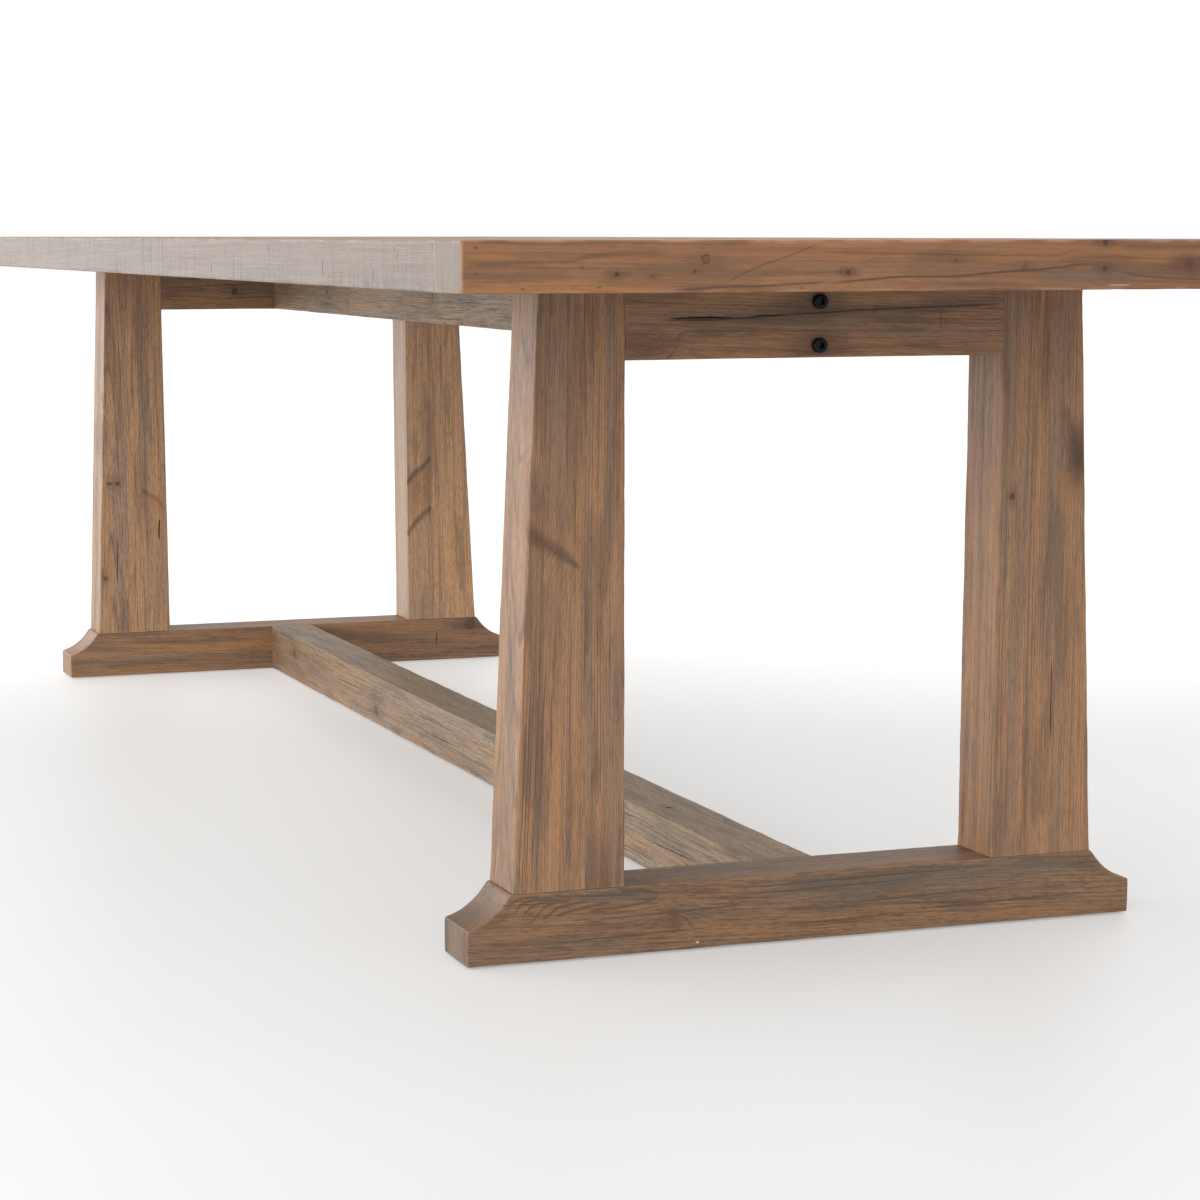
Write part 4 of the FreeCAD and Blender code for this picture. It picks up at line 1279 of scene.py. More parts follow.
@dataclass
class TableTop:
    """The top: seven lengthwise planks between two breadboard ends.

    Attributes:
        reach: half the top's length.
        end_width: the width of a breadboard end.
        side: half the top's width.
        under: the height of the underside.
        over: the height of the surface.
        planks: how many planks there are.
    """

    reach: float = 1524.0
    end_width: float = 80.0
    side: float = 508.0
    under: float = HEAD
    over: float = 762.0
    planks: int = 7

    def boards(self) -> list[Timber]:
        """Lists the planks, from the front to the back."""
        end = self.reach - self.end_width
        width = 2 * self.side / self.planks
        piths = ((-140, 690), (60, 560), (-30, 610), (90, 840), (20, 590), (-70, 650), (140, 680))
        face = -self.side
        slits = ((-311, 752, 743, 1.4), (178, 752, 745, 1.2), (538, 735, 719, 1.6),
                 (1048, 741, 722, 1.6), (-820, 745, 738, 1.2), (300, 729, 720, 1.2),
                 (820, 756, 748, 1.2), (1240, 733, 722, 1.4))
        marks = [Stroke((x, face, top), (x + 1.5, face, foot), 2.2 * wide, Mark.CRACK, 0.85)
                 for x, top, foot, wide in slits]
        marks.append(Stroke((1436, face, 761), (1441, face, 750), 3, Mark.BARK, 0.5, 1, 0.5))
        dice = np.random.default_rng(21)
        marks += [Stroke((x, face, z), (x + dice.uniform(-2, 2), face, z - reach), 2.4,
                         Mark.SCRATCH, 0.75)
                  for x, z, reach in zip(*(dice.uniform(*ends, 24) for ends in (
                      (-end, end), (726, 758), (2, 9))))]
        # Each plank came from a log of its own, so their tones differ by a few hundredths.
        tones = (1, 0.9, 1.06, 0.95, 0.86, 1.04, 0.93)
        found = []
        for i in range(self.planks):
            front = -self.side + i * width
            low, high = (-end, front, self.under), (end, front + width, self.over)
            pith = (0, front + width / 2 + piths[i][0], piths[i][1])
            butts = "-x +x" + (" -y" if i > 0 else "") + (" +y" if i < self.planks - 1 else "")
            edge = {0: front, self.planks - 1: front + width}.get(i)
            chips = [] if edge is None else [
                ((dice.uniform(-end, end), edge, dice.choice([self.under, self.over])),
                 dice.uniform(0.8, 2.6)) for _ in range(26)]
            x, y = dice.uniform(-end, end - 300), front + width * dice.uniform(0.15, 0.85)
            crack = Stroke((x, y, self.over), (x + dice.uniform(50, 150), y + 3, self.over),
                           1.1, depth=3)
            found.append(Timber(
                f"top_board_{i + 1}", f"top_plank_{i + 1}", low, high, Run.LENGTH, pith,
                TOP_BOARD, tilt=(0.4 * (i % 3 - 1), 0.5 * (i % 2) - 0.2), butts=butts,
                knots=(scattered(i + 3, 5, low, high, Run.LENGTH, "+z", pith)
                       + scattered(i + 40, 2, low, high, Run.LENGTH, "-z", pith)),
                strokes=[crack] + (marks if i == 0 else []), chips=chips, wear=2.2, cell=22,
                sawn="-y +y" if edge is not None else "", tone=tones[i], slot="top_boards"))
        return found

    def ends(self) -> list[Timber]:
        """Lists the two breadboard ends."""
        end = self.reach - self.end_width
        face = self.reach
        across = (1, 0, 0)
        knots = [Knot((face, y, z), across, radius, dark=dark, swell=swell, soft=fade, halo=halo)
                 for y, z, radius, dark, swell, fade, halo in (
                     (-358.5, 731.2, 2.4, 1, 1.5, 0.5, 0.7),
                     (-126.2, 732, 2.2, 1, 2, 0.6, 0.8),
                     (147.6, 733.7, 2.6, 1, 2.5, 0.6, 0.9),
                     (147.4, 759.9, 2.6, 1, 1.5, 0.6, 0.8),
                     (242.8, 738.2, 4.5, 0.5, 1, 0.8, 0.9),
                     (-391.8, 737.4, 0.9, 0.9, 0, 0.5, 0.2),
                     (-494.1, 731.6, 1, 0.8, 0, 0.5, 0.2),
                     (-493.9, 755.5, 1, 0.8, 0, 0.5, 0.2),
                     (-281.4, 733.2, 1.6, 0.8, 0.3, 0.6, 0.3),
                     (-322.9, 729.3, 1.6, 0.4, 0.5, 0.8, 0.5),
                     (-14, 742.5, 1.6, 0.6, 0.3, 0.8, 0.3),
                     (61.1, 736.4, 3, 0.4, 0.5, 0.8, 0.4))]
        knots.append(Knot((face, -271, 744.9), across, 4, dark=0.35, swell=0, rim=0.9))
        # Resin lines that wander along the board, with the softer bands of its late years.
        lines = (
            (4, 0.4, 0.5, ((-508, 738.5), (-458.5, 741.7), (-410.6, 742.6), (-379.2, 748.1),
                           (-345.1, 750.3), (-300.8, 750.2))),
            (2, 0.7, 0.4, ((-305.6, 716.3), (-270.8, 718.3), (-195.2, 720.6), (-144.1, 723.3))),
            (2.2, 0.3, 0.5, ((-175, 728.1), (-144.3, 732.6), (-126, 732))),
            (2, 0.75, 0.4, ((-154.4, 721.1), (-128.7, 723.2), (-89.8, 726.5), (-63.7, 727.6),
                            (-29.5, 727.4), (39.7, 731.8), (72, 733.3), (96.3, 735.6),
                            (131.7, 738.5), (147.5, 735.5))),
            (2.2, 0.4, 0.5, ((-154.8, 751), (-30, 748.4), (90.5, 747.4), (109.4, 750.5),
                             (131.3, 751.6))),
            (2.2, 0.6, 0.4, ((159.4, 733.7), (176.2, 728.8), (201.3, 726.3), (249.1, 723.6),
                             (330, 721))),
            (5, 0.45, 0.5, ((155, 758.5), (247.7, 755), (350, 757))),
            (3, 0.4, 0.5, ((-508, 759.5), (-369.5, 759), (-221, 758.5))),
            (1.1, 0.65, 0.3, ((-253.3, 720.5), (-220.7, 736.3), (-193, 745.4),
                              (-157.5, 757.9))))
        strokes: list[Line] = [Vein(spots, width, strength, fade)
                               for width, strength, fade, spots in lines]
        strokes += drawn(
            face,
            ((-60, 738), (700, 738), 90, Mark.SCRATCH, 0.22, 1, 0.5),
            ((76, 724), (134, 726), 13, Mark.GREY, 0.4, 0.5, 0.5),
            ((126, 731), (184, 725), 12, Mark.GREY, 0.5, 0.8, 0.5),
            ((151.7, 718.4), (178, 718.4), 1.8, Mark.PALE, 0.6),
            ((-16, 722.8), (52, 721), 6, Mark.SCRATCH, 0.3, 1, 0.5),
            *(((y, z), (y + 5, z - 0.8), 2, Mark.SCRATCH, 0.7)
              for y, z in ((-451.5, 718.8), (-378, 720), (-176, 717.9))))
        chips = [((face, y, self.under), deep) for y, deep in (
            (-8.2, 3), (20, 4), (45.3, 3.5), (-420, 2), (165.5, 3), (-290, 2.5), (300, 3))]
        right = Timber("right_end_board", "right_breadboard_end", (end, -self.side, self.under),
                       (face, self.side, self.over), Run.WIDTH, (1474, 0, 640), END_BOARD,
                       tilt=(0.9, 0.7), butts="-x", strokes=strokes, chips=chips, wear=2,
                       knots=knots + [Knot((1490, 90, self.over), (0.1, 0.1, 1), 6),
                                      Knot((1470, -320, self.over), (0, 0.2, 1), 4.5)],
                       cell=10, sawn="-y +y", slot="breadboard_ends")
        left = Timber("left_end_board", "left_breadboard_end", (-face, -self.side, self.under),
                      (-end, self.side, self.over), Run.WIDTH, (-1500, 0, 800), END_BOARD,
                      tilt=(-0.8, 0.5), butts="+x", wear=2, cell=12, slot="breadboard_ends",
                      sawn="-y +y",
                      knots=[Knot((-face, 210, 741), (-1, 0, 0), 4, halo=0.7),
                             Knot((-face, -330, 728), (-1, 0, 0), 3.5, soft=0.4),
                             Knot((-face, -40, 745), (-1, 0.1, 0.2), 5, halo=0.7),
                             Knot((-1480, -150, self.over), (-0.1, 0.1, 1), 5)],
                      strokes=[Vein(((215, 738), (300, 733), (420, 738)), 2.4, 0.6, 0.5)])
        return [right, left]

    def build(self) -> list[bpy.types.Object]:
        """Builds and returns the boards and ends."""
        return [timber.build() for timber in (*self.boards(), *self.ends())]


@dataclass
class Trestle:
    """One trestle: a coved foot, four staves in two posts, and a rail between them.

    Attributes:
        label: "right" or "left".
        middle: the place of its middle along the table.
        pine: the pine of its posts and rail.
        foot_pine: the pine of its foot.
        thick: its thickness.
        inside: how far from the middle the posts' inner sides are.
        seam: how far from the middle the staves' glue line is.
        splay: how far from the middle the posts' outer sides are at the foot.
        foot_end: half the foot's length.
        sole: the height of the foot's sole over the floor.
        foot_top: the height of the foot's top.
        rail_under: the height of the rail's underside.
        head: the height of the top's underside.
        screw_at: how far from the table's middle the stretcher's screws stand.
    """

    label: str
    middle: float
    pine: Pine = TRESTLE
    # By default the foot gets the darker pine, which paints in shade.
    foot_pine: Pine = FOOT
    thick: float = 82.0
    inside: float = 220.0
    seam: float = 265.0
    splay: float = 346.0
    foot_end: float = 398.0
    sole: float = SOLE
    foot_top: float = FOOT_TOP
    rail_under: float = RAIL_UNDER
    head: float = HEAD
    screw_at: float = 1115.0

    @property
    def face(self) -> float:
        """How far along the table its side towards +X is, which the picture shows."""
        return self.middle + self.thick / 2

    def box(self, low: float, high: float, under: float, over: float) -> tuple[Point, Point]:
        """The corners of a timber as thick as the trestle, from its ends along Y and Z."""
        half = self.thick / 2
        return (self.middle - half, low, under), (self.middle + half, high, over)

    def foot(self, pith: tuple[float, float], knots: list[Knot], strokes: list[Line]) -> Timber:
        """Makes the foot's timber.

        Args:
            pith: the pith's place along X and Z from the foot's middle.
            knots: its knots.
            strokes: its strokes.

        Returns:
            The timber.
        """
        screw = (math.copysign(self.screw_at, self.middle), 0.0, self.sole)
        return CovedFoot(f"{self.label}_coved_foot", f"{self.label}_foot",
                         *self.box(-self.foot_end, self.foot_end, self.sole, self.foot_top),
                         Run.WIDTH, (self.middle + pith[0], 0.0, pith[1]), self.foot_pine,
                         tilt=(1.6, 1.2), knots=knots, strokes=strokes, cell=10.0,
                         bores=[Bore(screw, (0.0, 0.0, -1.0), 11.5, 7.0)])

    def stave(self, side: str, layer: str, pith: tuple[float, float], tilt: tuple[float, float],
              knots: list[Knot], strokes: list[Line], tone: float = 1.0) -> Timber:
        """Makes a stave's timber.

        Args:
            side: "front" or "back".
            layer: "inner" or "outer".
            pith: the pith's place along X and outwards along Y from the seam.
            tilt: the lean of its grain in degrees.
            knots: its knots.
            strokes: its strokes.
            tone: how light its wood is drawn; above 1 it paints in light.

        Returns:
            The timber.
        """
        way = -1.0 if side == "front" else 1.0
        span = (self.inside, self.seam) if layer == "inner" else (self.seam, self.splay)
        name = f"{self.label}_{side}_{layer}_stave"
        box = self.box(*sorted(way * s for s in span), self.foot_top, self.head)
        place = (self.middle + pith[0], way * (self.seam + pith[1]), 0.0)
        extra = scattered(sum(map(ord, name)), 2, *box, Run.UPRIGHT, "-x", place, 6.0)
        glued = "-y" if (layer == "inner") == (way < 0) else "+y"
        kind = OuterStave if layer == "outer" else Timber
        return kind(name, f"{self.label}_{side}_post_{layer}_stave", *box, Run.UPRIGHT, place,
                    self.pine, tilt=tilt, butts=f"-z +z {glued}", knots=knots + extra,
                    strokes=strokes, cell=11.0, tone=tone)

    def rail(self, pith: tuple[float, float], knots: list[Knot], strokes: list[Line],
             tone: float = 1.0) -> Timber:
        """Makes the rail's timber.

        Args:
            pith: the pith's place along X from the rail's middle, and its height.
            knots: its knots.
            strokes: its strokes.
            tone: how light its wood is drawn; below 1 it paints in the shade under the top.

        Returns:
            The timber.
        """
        slots = [Bore((self.middle, y, self.rail_under), (0.0, 0.0, -1.0), 11.5, 30.0, 7.0)
                 for y in (-130.0, 130.0)]
        return Timber(f"{self.label}_top_rail", f"{self.label}_rail",
                      *self.box(-self.inside, self.inside, self.rail_under, self.head),
                      Run.WIDTH, (self.middle + pith[0], 0.0, pith[1]), self.pine,
                      tilt=(2.2, 1.0), butts="-y +y +z", knots=knots, strokes=strokes,
                      bores=slots, cell=10.0, tone=tone)


@dataclass
class RightTrestle(Trestle):
    """The trestle at the right end, with the knots and cracks of its own timbers."""

    def build(self) -> list[bpy.types.Object]:
        """Builds and returns the trestle's timbers."""
        face = self.face
        # A branch that was sawn along its length: a bark wedge with amber wood over it.
        spike = drawn(
            face,
            ((-330, 478), (-285, 448), 20, Mark.AMBER, 0.3, 0.4, 0.5),
            ((-375, 500), (-272, 424), 15, Mark.BARK, 0.6, 1, 0.5),
            ((-352, 484), (-284, 430), 4, Mark.BARK, 0.7, 1, 0.5))
        # Hard late wood that stands out in dark lines beside the arris.
        spike += drawn(face, *(
            ((y, 70), (y + 14, 380 - 4 * abs(y + 330)), 1.6, Mark.BARK, 0.55, 1, 0.4)
            for y in (-341, -336.5, -333, -327, -321.5)))
        # The foot was sawn near the bark, so its rings rise in arcs towards the toe.
        figure: list[Line] = [Vein(spots, 2.8, 0.6, 0.5) for spots in (
            ((-357, 50), (-352.1, 64), (-343.8, 71.4), (-315, 73.5)),
            ((-348, 48), (-341.9, 61.9), (-332.7, 68.7), (-300, 71.5)),
            ((-337, 46), (-330.8, 59.7), (-321.6, 65.7), (-290, 69)),
            ((-330, 44), (-317.5, 55.9), (-309.1, 63.4), (-280, 67.5)),
            ((-316, 47), (-300.8, 57.3), (-292.4, 61.5), (-260, 64.5)),
            ((-301, 50), (-284, 55), (-235, 61.5)),
            ((-306.3, 74.5), (-272.7, 71), (-200, 68)),
            ((-262, 55), (-227.5, 55.5), (-193.4, 59.5), (-180, 66)),
            ((-225, 73), (-196.3, 71.5), (-180, 66)))]
        figure += drawn(
            face,
            *(((y, z), (y + reach, z + 3), 2.6, Mark.BARK, 0.5) for y, z, reach in (
                (-250, 44, 170), (-110, 58, 240), (-90, 66, 300), (40, 40, 220),
                (-300, 22, 190), (120, 26, 230), (-40, 20, 150))),
            ((-261, 66.5), (-188, 65), 14, Mark.GREY, 0.5, 0.5, 0.5),
            ((-80, 60), (330, 64), 24, Mark.GREY, 0.4, 0.8, 0.5),
            ((-165, 46), (-158, 24), 12, Mark.BARK, 0.35, 0.6, 0.5))
        # Painted shade on the foot: a dark band along the front cove, and a grey wash with two
        # dark streaks over the toe's end grain.
        end = -self.foot_end
        figure.append(Stroke((1090, -372, 58), (1190, -372, 58), 30, Mark.BARK, 0.3, 0, 0.5))
        figure += [Stroke((x, end, z), (x_end, end, z_end), *rest)
                   for (x, z), (x_end, z_end), *rest in (
                       ((self.middle, 42), (self.middle, 4), 80, Mark.GREY, 0.35, 0, 0.3),
                       ((1104, 40), (1104, 4), 16, Mark.BARK, 0.6, 0.4, 0.5),
                       ((1172, 42), (1168, 6), 13, Mark.BARK, 0.5, 0.4, 0.5))]
        chipped = drawn(face, ((-137, 9.4), (-133, 9.8), 2.4, Mark.PALE, 0.9))
        chipped.append(Stroke((1150, -end, 20), (1152, -end, 38), 1.4, depth=5))
        blotch = drawn(face, ((300, 574), (322, 512), 17, Mark.BARK, 0.4, 0.5, 0.5),
                       ((297, 508), (306, 468), 18, Mark.AMBER, 0.45, 0.5, 0.5))
        blotch.append(Stroke((face, 291, 300), (face, 292, 210), 1.3, depth=4))
        stain = [Stroke((y, 220, z), (y + 3, 220, z - 40), 16, Mark.GREY, 0.35, 0.5, 0.5)
                 for y, z in ((1112, 222), (1130, 205))]
        # A resin streak along the rail, with an open crack in its dark middle.
        streak = ((-190, 681), (-147, 679.5), (-44.8, 683.7), (48.2, 688.2), (220, 693.2))
        resin = [Vein(streak, 8, 0.5, 0.5, Mark.SCRATCH),
                 Vein(streak, 2, 0.6, 0.4, Mark.CRACK),
                 Stroke((face, -172, 681), (face, -96, 681.5), 2.2, depth=4),
                 Stroke((face, -84, 682), (face, -36, 684), 1.4, depth=3),
                 Stroke((face, 143, 690), (face, 145, 664), 1.4, Mark.SCRATCH)]
        # Painted shadow: a soft dark ring round each bolt head on the rail, where the head shades
        # the wood.
        rings = [Knot((face, 0, z), (1, 0, 0), 7.5, dark=0.6, swell=0, soft=0.8,
                      halo=0.5, rim=0) for z in BOLT_HEIGHTS]
        timbers = [
            self.foot((60, 96),
                      [Knot((face, -163, 40), (1, 0.1, 0.2), 7, dark=0.15, swell=1.6,
                            soft=0.8, rim=0, halo=0.2)], figure + chipped),
            self.stave("front", "outer", (20, -150), (0.3, 0.5),
                       [Knot((face, -300, 462), (0.1, 0.68, -0.72), 11, dark=0, swell=1.1,
                             rim=0, halo=0.15)], spike),
            self.stave("front", "inner", (-30, -160), (0.2, 0.3),
                       [Knot((face, -262, 86), (1, 0, -0.3), 13, dark=0.2, swell=1.8,
                             soft=0.8, halo=0.5, rim=0)],
                       drawn(face, ((-263, 128), (-266, 80), 14, Mark.GREY, 0.6, 0.3, 0.5))),
            self.stave("back", "outer", (10, 170), (0.2, -0.4),
                       [Knot((face, 316, 523), (1, 0.2, 0.2), 7, dark=0.4, soft=0.8,
                             swell=1.8, halo=0.7, rim=0)], blotch),
            self.stave("back", "inner", (-40, 150), (0.3, -0.2),
                       [Knot((face, 236.2, 483.5), (1, 0, 0.3), 3.2, dark=0.8, soft=0.4)], stain),
            # The rail's tone of 0.88 is painted shade under the top.
            self.rail((90, 640),
                      [Knot((face, -200, 655), (1, 0.1, -0.2), 7, dark=0.15, swell=1.6,
                            soft=0.7, rim=0), *rings], resin, 0.88),
        ]
        return [timber.build() for timber in timbers]


@dataclass
class LeftTrestle(Trestle):
    """The trestle at the left end, with the knots and cracks of its own timbers."""

    def build(self) -> list[bpy.types.Object]:
        """Builds and returns the trestle's timbers."""
        face = self.face
        # The inner back stave shows a branch that was sawn along its length, dark at its sides,
        # and a painted sheen over its inner side.
        branch = drawn(
            face,
            ((222, 290), (262, 326), 56, Mark.AMBER, 0.5, 0.2, 0.4),
            *(((224, low), (264, low + 42), 2, Mark.BARK, 0.22) for low in (276, 290, 305)),
            *(((216, low), (272, low + rise), 10, Mark.BARK, 0.62, 0.5, 0.5)
              for low, rise in ((322, 54), (230, 62))))
        # Painted sheen: a pale wash over the stave's whole inner side.
        branch.append(Stroke((self.middle, 220, 60), (self.middle, 220, 730), 64,
                             Mark.PALE, 0.4, 0, 0.5))
        # A drying crack, and painted shade: a faint grey wash over the stave's whole outer side.
        crack_and_painted_shade = [Stroke((face, -309, 246), (face, -311, 165), 1.6, depth=5),
                     Stroke((self.middle, -346, 60), (self.middle, -316, 730), 90,
                            Mark.GREY, 0.16, 0, 0.4)]
        healed = [*drawn(face, ((-262, 316), (-226, 288), 22, Mark.AMBER, 0.45, 0.4, 0.5)),
                  Vein(((-280, 333), (-256, 323), (-240, 313), (-222, 294)), 9, 0.4, 0.5),
                  Stroke((face, -234, 276), (face, -235, 238), 3, depth=9)]
        grained = drawn(
            face,
            ((-190, 690), (-40, 694), 2, Mark.CRACK, 0.6),
            *(((y, z), (y + 160, z + 5), 3, Mark.BARK, 0.5)
              for y, z in ((-215, 676), (-120, 656), (20, 668), (60, 698), (-40, 643))))
        timbers = [
            self.foot((-50, -60),
                      [Knot((face, 337, 66), (0.9, 0, 0.4), 8, dark=0.6, soft=0.5)],
                      [Stroke((face, 272, 54), (face, 272, 28), 1.8, depth=4)]),
            self.stave("front", "outer", (18, 56), (-1.5, 0.2),
                       [*(Knot((face, y, 340), (1, -0.2, 0.1), 3.4) for y in (-320, -306)),
                        Knot((face, -331, 420), (1, -0.1, 0.1), 6, dark=0.1, swell=2,
                             rim=0)], crack_and_painted_shade),
            self.stave("front", "inner", (30, -170), (0.2, 0.3), [], healed),
            # The back staves' tones of 1.3 and 1.22 are painted light.
            self.stave("back", "outer", (15, 140), (0.3, -0.5), [], [], 1.3),
            self.stave("back", "inner", (-20, 160), (0.2, -0.3), [], branch, 1.22),
            # The rail's tone of 0.67 is painted shade under the top.
            self.rail((-80, 600), [Knot((face, -90, 668), (1, 0.3, 0.1), 5)], grained, 0.67),
        ]
        return [timber.build() for timber in timbers]


@dataclass
class Ties:
    """The upper beam and the lower stretcher, which tie the trestles together.

    Attributes:
        inner: how far from the table's middle the trestles' inner faces are.
        beam_half: half the beam's thickness.
        beam_under: the height of its underside.
        head: the height of the top's underside.
        seams: where the beam's three lengths are glued end to end.
        stretcher_half: half the stretcher's width.
        sole: the height of its underside.
        foot_top: the height of its upper side.
    """

    inner: float = 1098.0
    beam_half: float = 19.0
    beam_under: float = RAIL_UNDER
    head: float = HEAD
    seams: tuple[float, float] = (-606.0, -314.0)
    stretcher_half: float = 36.0
    sole: float = SOLE
    foot_top: float = FOOT_TOP

    def beam(self) -> bpy.types.Object:
        """Builds the beam from its three lengths, which are sawn from different logs."""
        ends = (-self.inner, *self.seams, self.inner)
        piths = ((-60, 700), (50, 760), (-90, 640))
        lengths = []
        for i, (finish, pith) in enumerate(zip((BEAM, LIGHT_BEAM, BEAM), piths)):
            holes = [Bore((x, self.beam_half, z), (0, 1, 0), 7.6, 26)
                     for x in (-1054, 1054) for z in BOLT_HEIGHTS if ends[i] < x < ends[i + 1]]
            low = (ends[i], -self.beam_half, self.beam_under)
            high = (ends[i + 1], self.beam_half, self.head)
            middle = (0, *pith)
            lengths.append(Timber(
                f"upper_beam_timber_{i}", "upper_beam", low, high, Run.LENGTH, middle, finish,
                tilt=(0.6 - 0.5 * i, 0.8), butts="-x +x +z", cell=14, bores=holes,
                knots=scattered(60 + i, 3 if i == 2 else 1, low, high, Run.LENGTH, "+y", middle,
                                6)).make())
        beam = lengths[0]
        with bpy.context.temp_override(active_object=beam, object=beam,
                                       selected_editable_objects=lengths):
            bpy.ops.object.join()
        beam.name = beam.data.name = "upper_beam_timber"
        return enlist(beam, "upper_beam")

    def build(self) -> list[bpy.types.Object]:
        """Builds and returns the beam and the stretcher."""
        low = (-self.inner, -self.stretcher_half, self.sole)
        high = (self.inner, self.stretcher_half, self.foot_top)
        front = -self.stretcher_half
        cracks = [Stroke((x, front, z), (x + reach, front, z + 2), 1.5, depth=4)
                  for x, z, reach in ((-650, 44, 130), (-180, 30, 190), (160, 52, 110),
                                      (420, 26, 220), (780, 40, 140))]
        cracks += [Stroke((x, y, self.foot_top), (x + reach, y + 2, self.foot_top), 1.4, depth=4)
                   for x, y, reach in ((-300, 12, 160), (240, -16, 150), (620, 14, 200))]
        # A loose branch fell out of the stretcher's upper side and left a hole.
        hole = (771.2, -8.3, self.foot_top)
        stretcher = Timber("lower_stretcher_timber", "lower_stretcher", low, high, Run.LENGTH,
                           (0, 60, 150), BEAM, tilt=(0.7, 0.5), butts="-x +x", cell=12,
                           slot="beam_and_stretcher", strokes=cracks,
                           bores=[Bore(hole, (0, 0, 1), 3.4, 9)],
                           knots=[Knot(hole, (0, 0, 1), 4.4, dark=0.9, swell=0.6, soft=0.5),
                                  Knot((-938.7, front, 49), (0, -1, 0), 7, soft=0.5),
                                  Knot((-420, -front, 40), (0.1, 1, 0.2), 8)])
        return [self.beam(), stretcher.build()]


def turned(name: str, profile: list[tuple[float, float]], places: list[tuple[Point, Point]],
           count: int = 40) -> bpy.types.Object:
    """Turns a profile into a round shape, once at each place.

    Args:
        name: the shape's name.
        profile: radius and height of each ring, from the foot to the tip, in millimetres.
        places: where each foot is, and the way to its tip.
        count: how many sides each ring has.

    Returns:
        The shape.
    """
    points: list[Point] = []
    faces: list[tuple[int, ...]] = []
    for foot, way in places:
        out = Vector(way)
        one = out.orthogonal().normalized()
        two = out.cross(one)
        base = len(points)
        for radius, height in profile:
            for k in range(count):
                angle = math.tau * k / count
                spot = (Vector(foot) + out * height + one * radius * math.cos(angle)
                        + two * radius * math.sin(angle))
                points.append(tuple(spot * MM))
        for ring in range(len(profile) - 1):
            for k in range(count):
                a, b = base + ring * count + k, base + ring * count + (k + 1) % count
                faces.append((a, b, b + count, a + count))
        last = base + (len(profile) - 1) * count
        faces.append(tuple(range(base + count - 1, base - 1, -1)))
        faces.append(tuple(range(last, last + count)))
    piece = tool_object(points, faces)
    piece.name = piece.data.name = name
    piece.data.shade_smooth()
    return piece


@dataclass
class Fasteners:
    """The bolts, nuts, screws and felt pads.

    Attributes:
        head_face: how far from the table's middle the bolts' heads end.
        head: the radius and height of a head, and its socket's width across flats and depth.
        shank: the radius of a shank, and how far from the middle it starts.
        pads: how far the pads' middles are along the table and across it.
        pad: the radius and height of a pad.
    """

    head_face: float = 1186.0
    head: tuple[float, float, float, float] = (8.0, 6.0, 7.0, 4.0)
    shank: tuple[float, float] = (5.0, 1050.0)
    pads: tuple[float, float] = (1139.0, 358.0)
    pad: tuple[float, float] = (14.0, 2.5)

    def bolts(self) -> bpy.types.Object:
        """Turns the socket-head bolts, with a rounded rim and a six-sided socket."""
        radius, tall, flats, deep = self.head
        shank, start = self.shank
        seat = self.head_face - tall - start
        tip = self.head_face - start
        profile = [(shank, 0.0), (shank, seat), (radius - 0.3, seat), (radius, seat + 0.3)]
        rim = 1.1
        profile += [(radius - rim + rim * math.cos(a), tip - rim + rim * math.sin(a))
                    for a in (math.radians(d) for d in (0, 22, 45, 68, 90))]
        ends = [(side, z) for side in (-1.0, 1.0) for z in BOLT_HEIGHTS]
        bolts = turned("socket_head_bolts", profile,
                       [((side * start, 0.0, z), (side, 0.0, 0.0)) for side, z in ends], 48)
        bolts.data.materials.append(BLACK_OXIDE.material())
        corner = flats / math.sqrt(3)
        sockets = [turned("socket", [(corner, -deep), (corner, 1.0)],
                          [((side * self.head_face, 0.0, z), (side, 0.0, 0.0))], 6)
                   for side, z in ends]
        carve(bolts, sockets)
        bolts.data.set_sharp_from_angle(angle=math.radians(40))
        return enlist(bolts, "beam_bolts")

    def felt(self) -> bpy.types.Object:
        """Makes the felt pads, pressed round at their rims."""
        radius, tall = self.pad
        profile = [(radius - 0.5, 0.0), (radius - 0.1, 0.35), (radius, 0.9),
                   (radius - 0.1, tall - 0.5), (radius - 0.6, tall)]
        places = [((x * self.pads[0], y * self.pads[1], 0.0), (0.0, 0.0, 1.0))
                  for x in (-1.0, 1.0) for y in (-1.0, 1.0)]
        pads = turned("round_felt_pads", profile, places, 40)
        pads.data.materials.append(FELT.material())
        pads.data.set_sharp_from_angle(angle=math.radians(60))
        return enlist(pads, "foot_pads")

    def build(self) -> None:
        """Builds the bolts and pads, and gives the frame's own nuts and screws their finish."""
        self.bolts()
        self.felt()
        finishes = {"beam_barrel": ZINC_PLATE, "top_screw": ZINC_PLATE,
                    "stretcher_screw": ZINC_PLATE, "top_spline": PLANED_PINE}
        made = {finish: finish.material() for finish in (ZINC_PLATE, PLANED_PINE)}
        for name in sorted(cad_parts):
            finish = next((f for start, f in finishes.items() if name.startswith(start)), None)
            if finish:
                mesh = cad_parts[name].data
                mesh.materials.clear()
                mesh.materials.append(made[finish])
                LOG.info("%s: %s", name, finish.name)


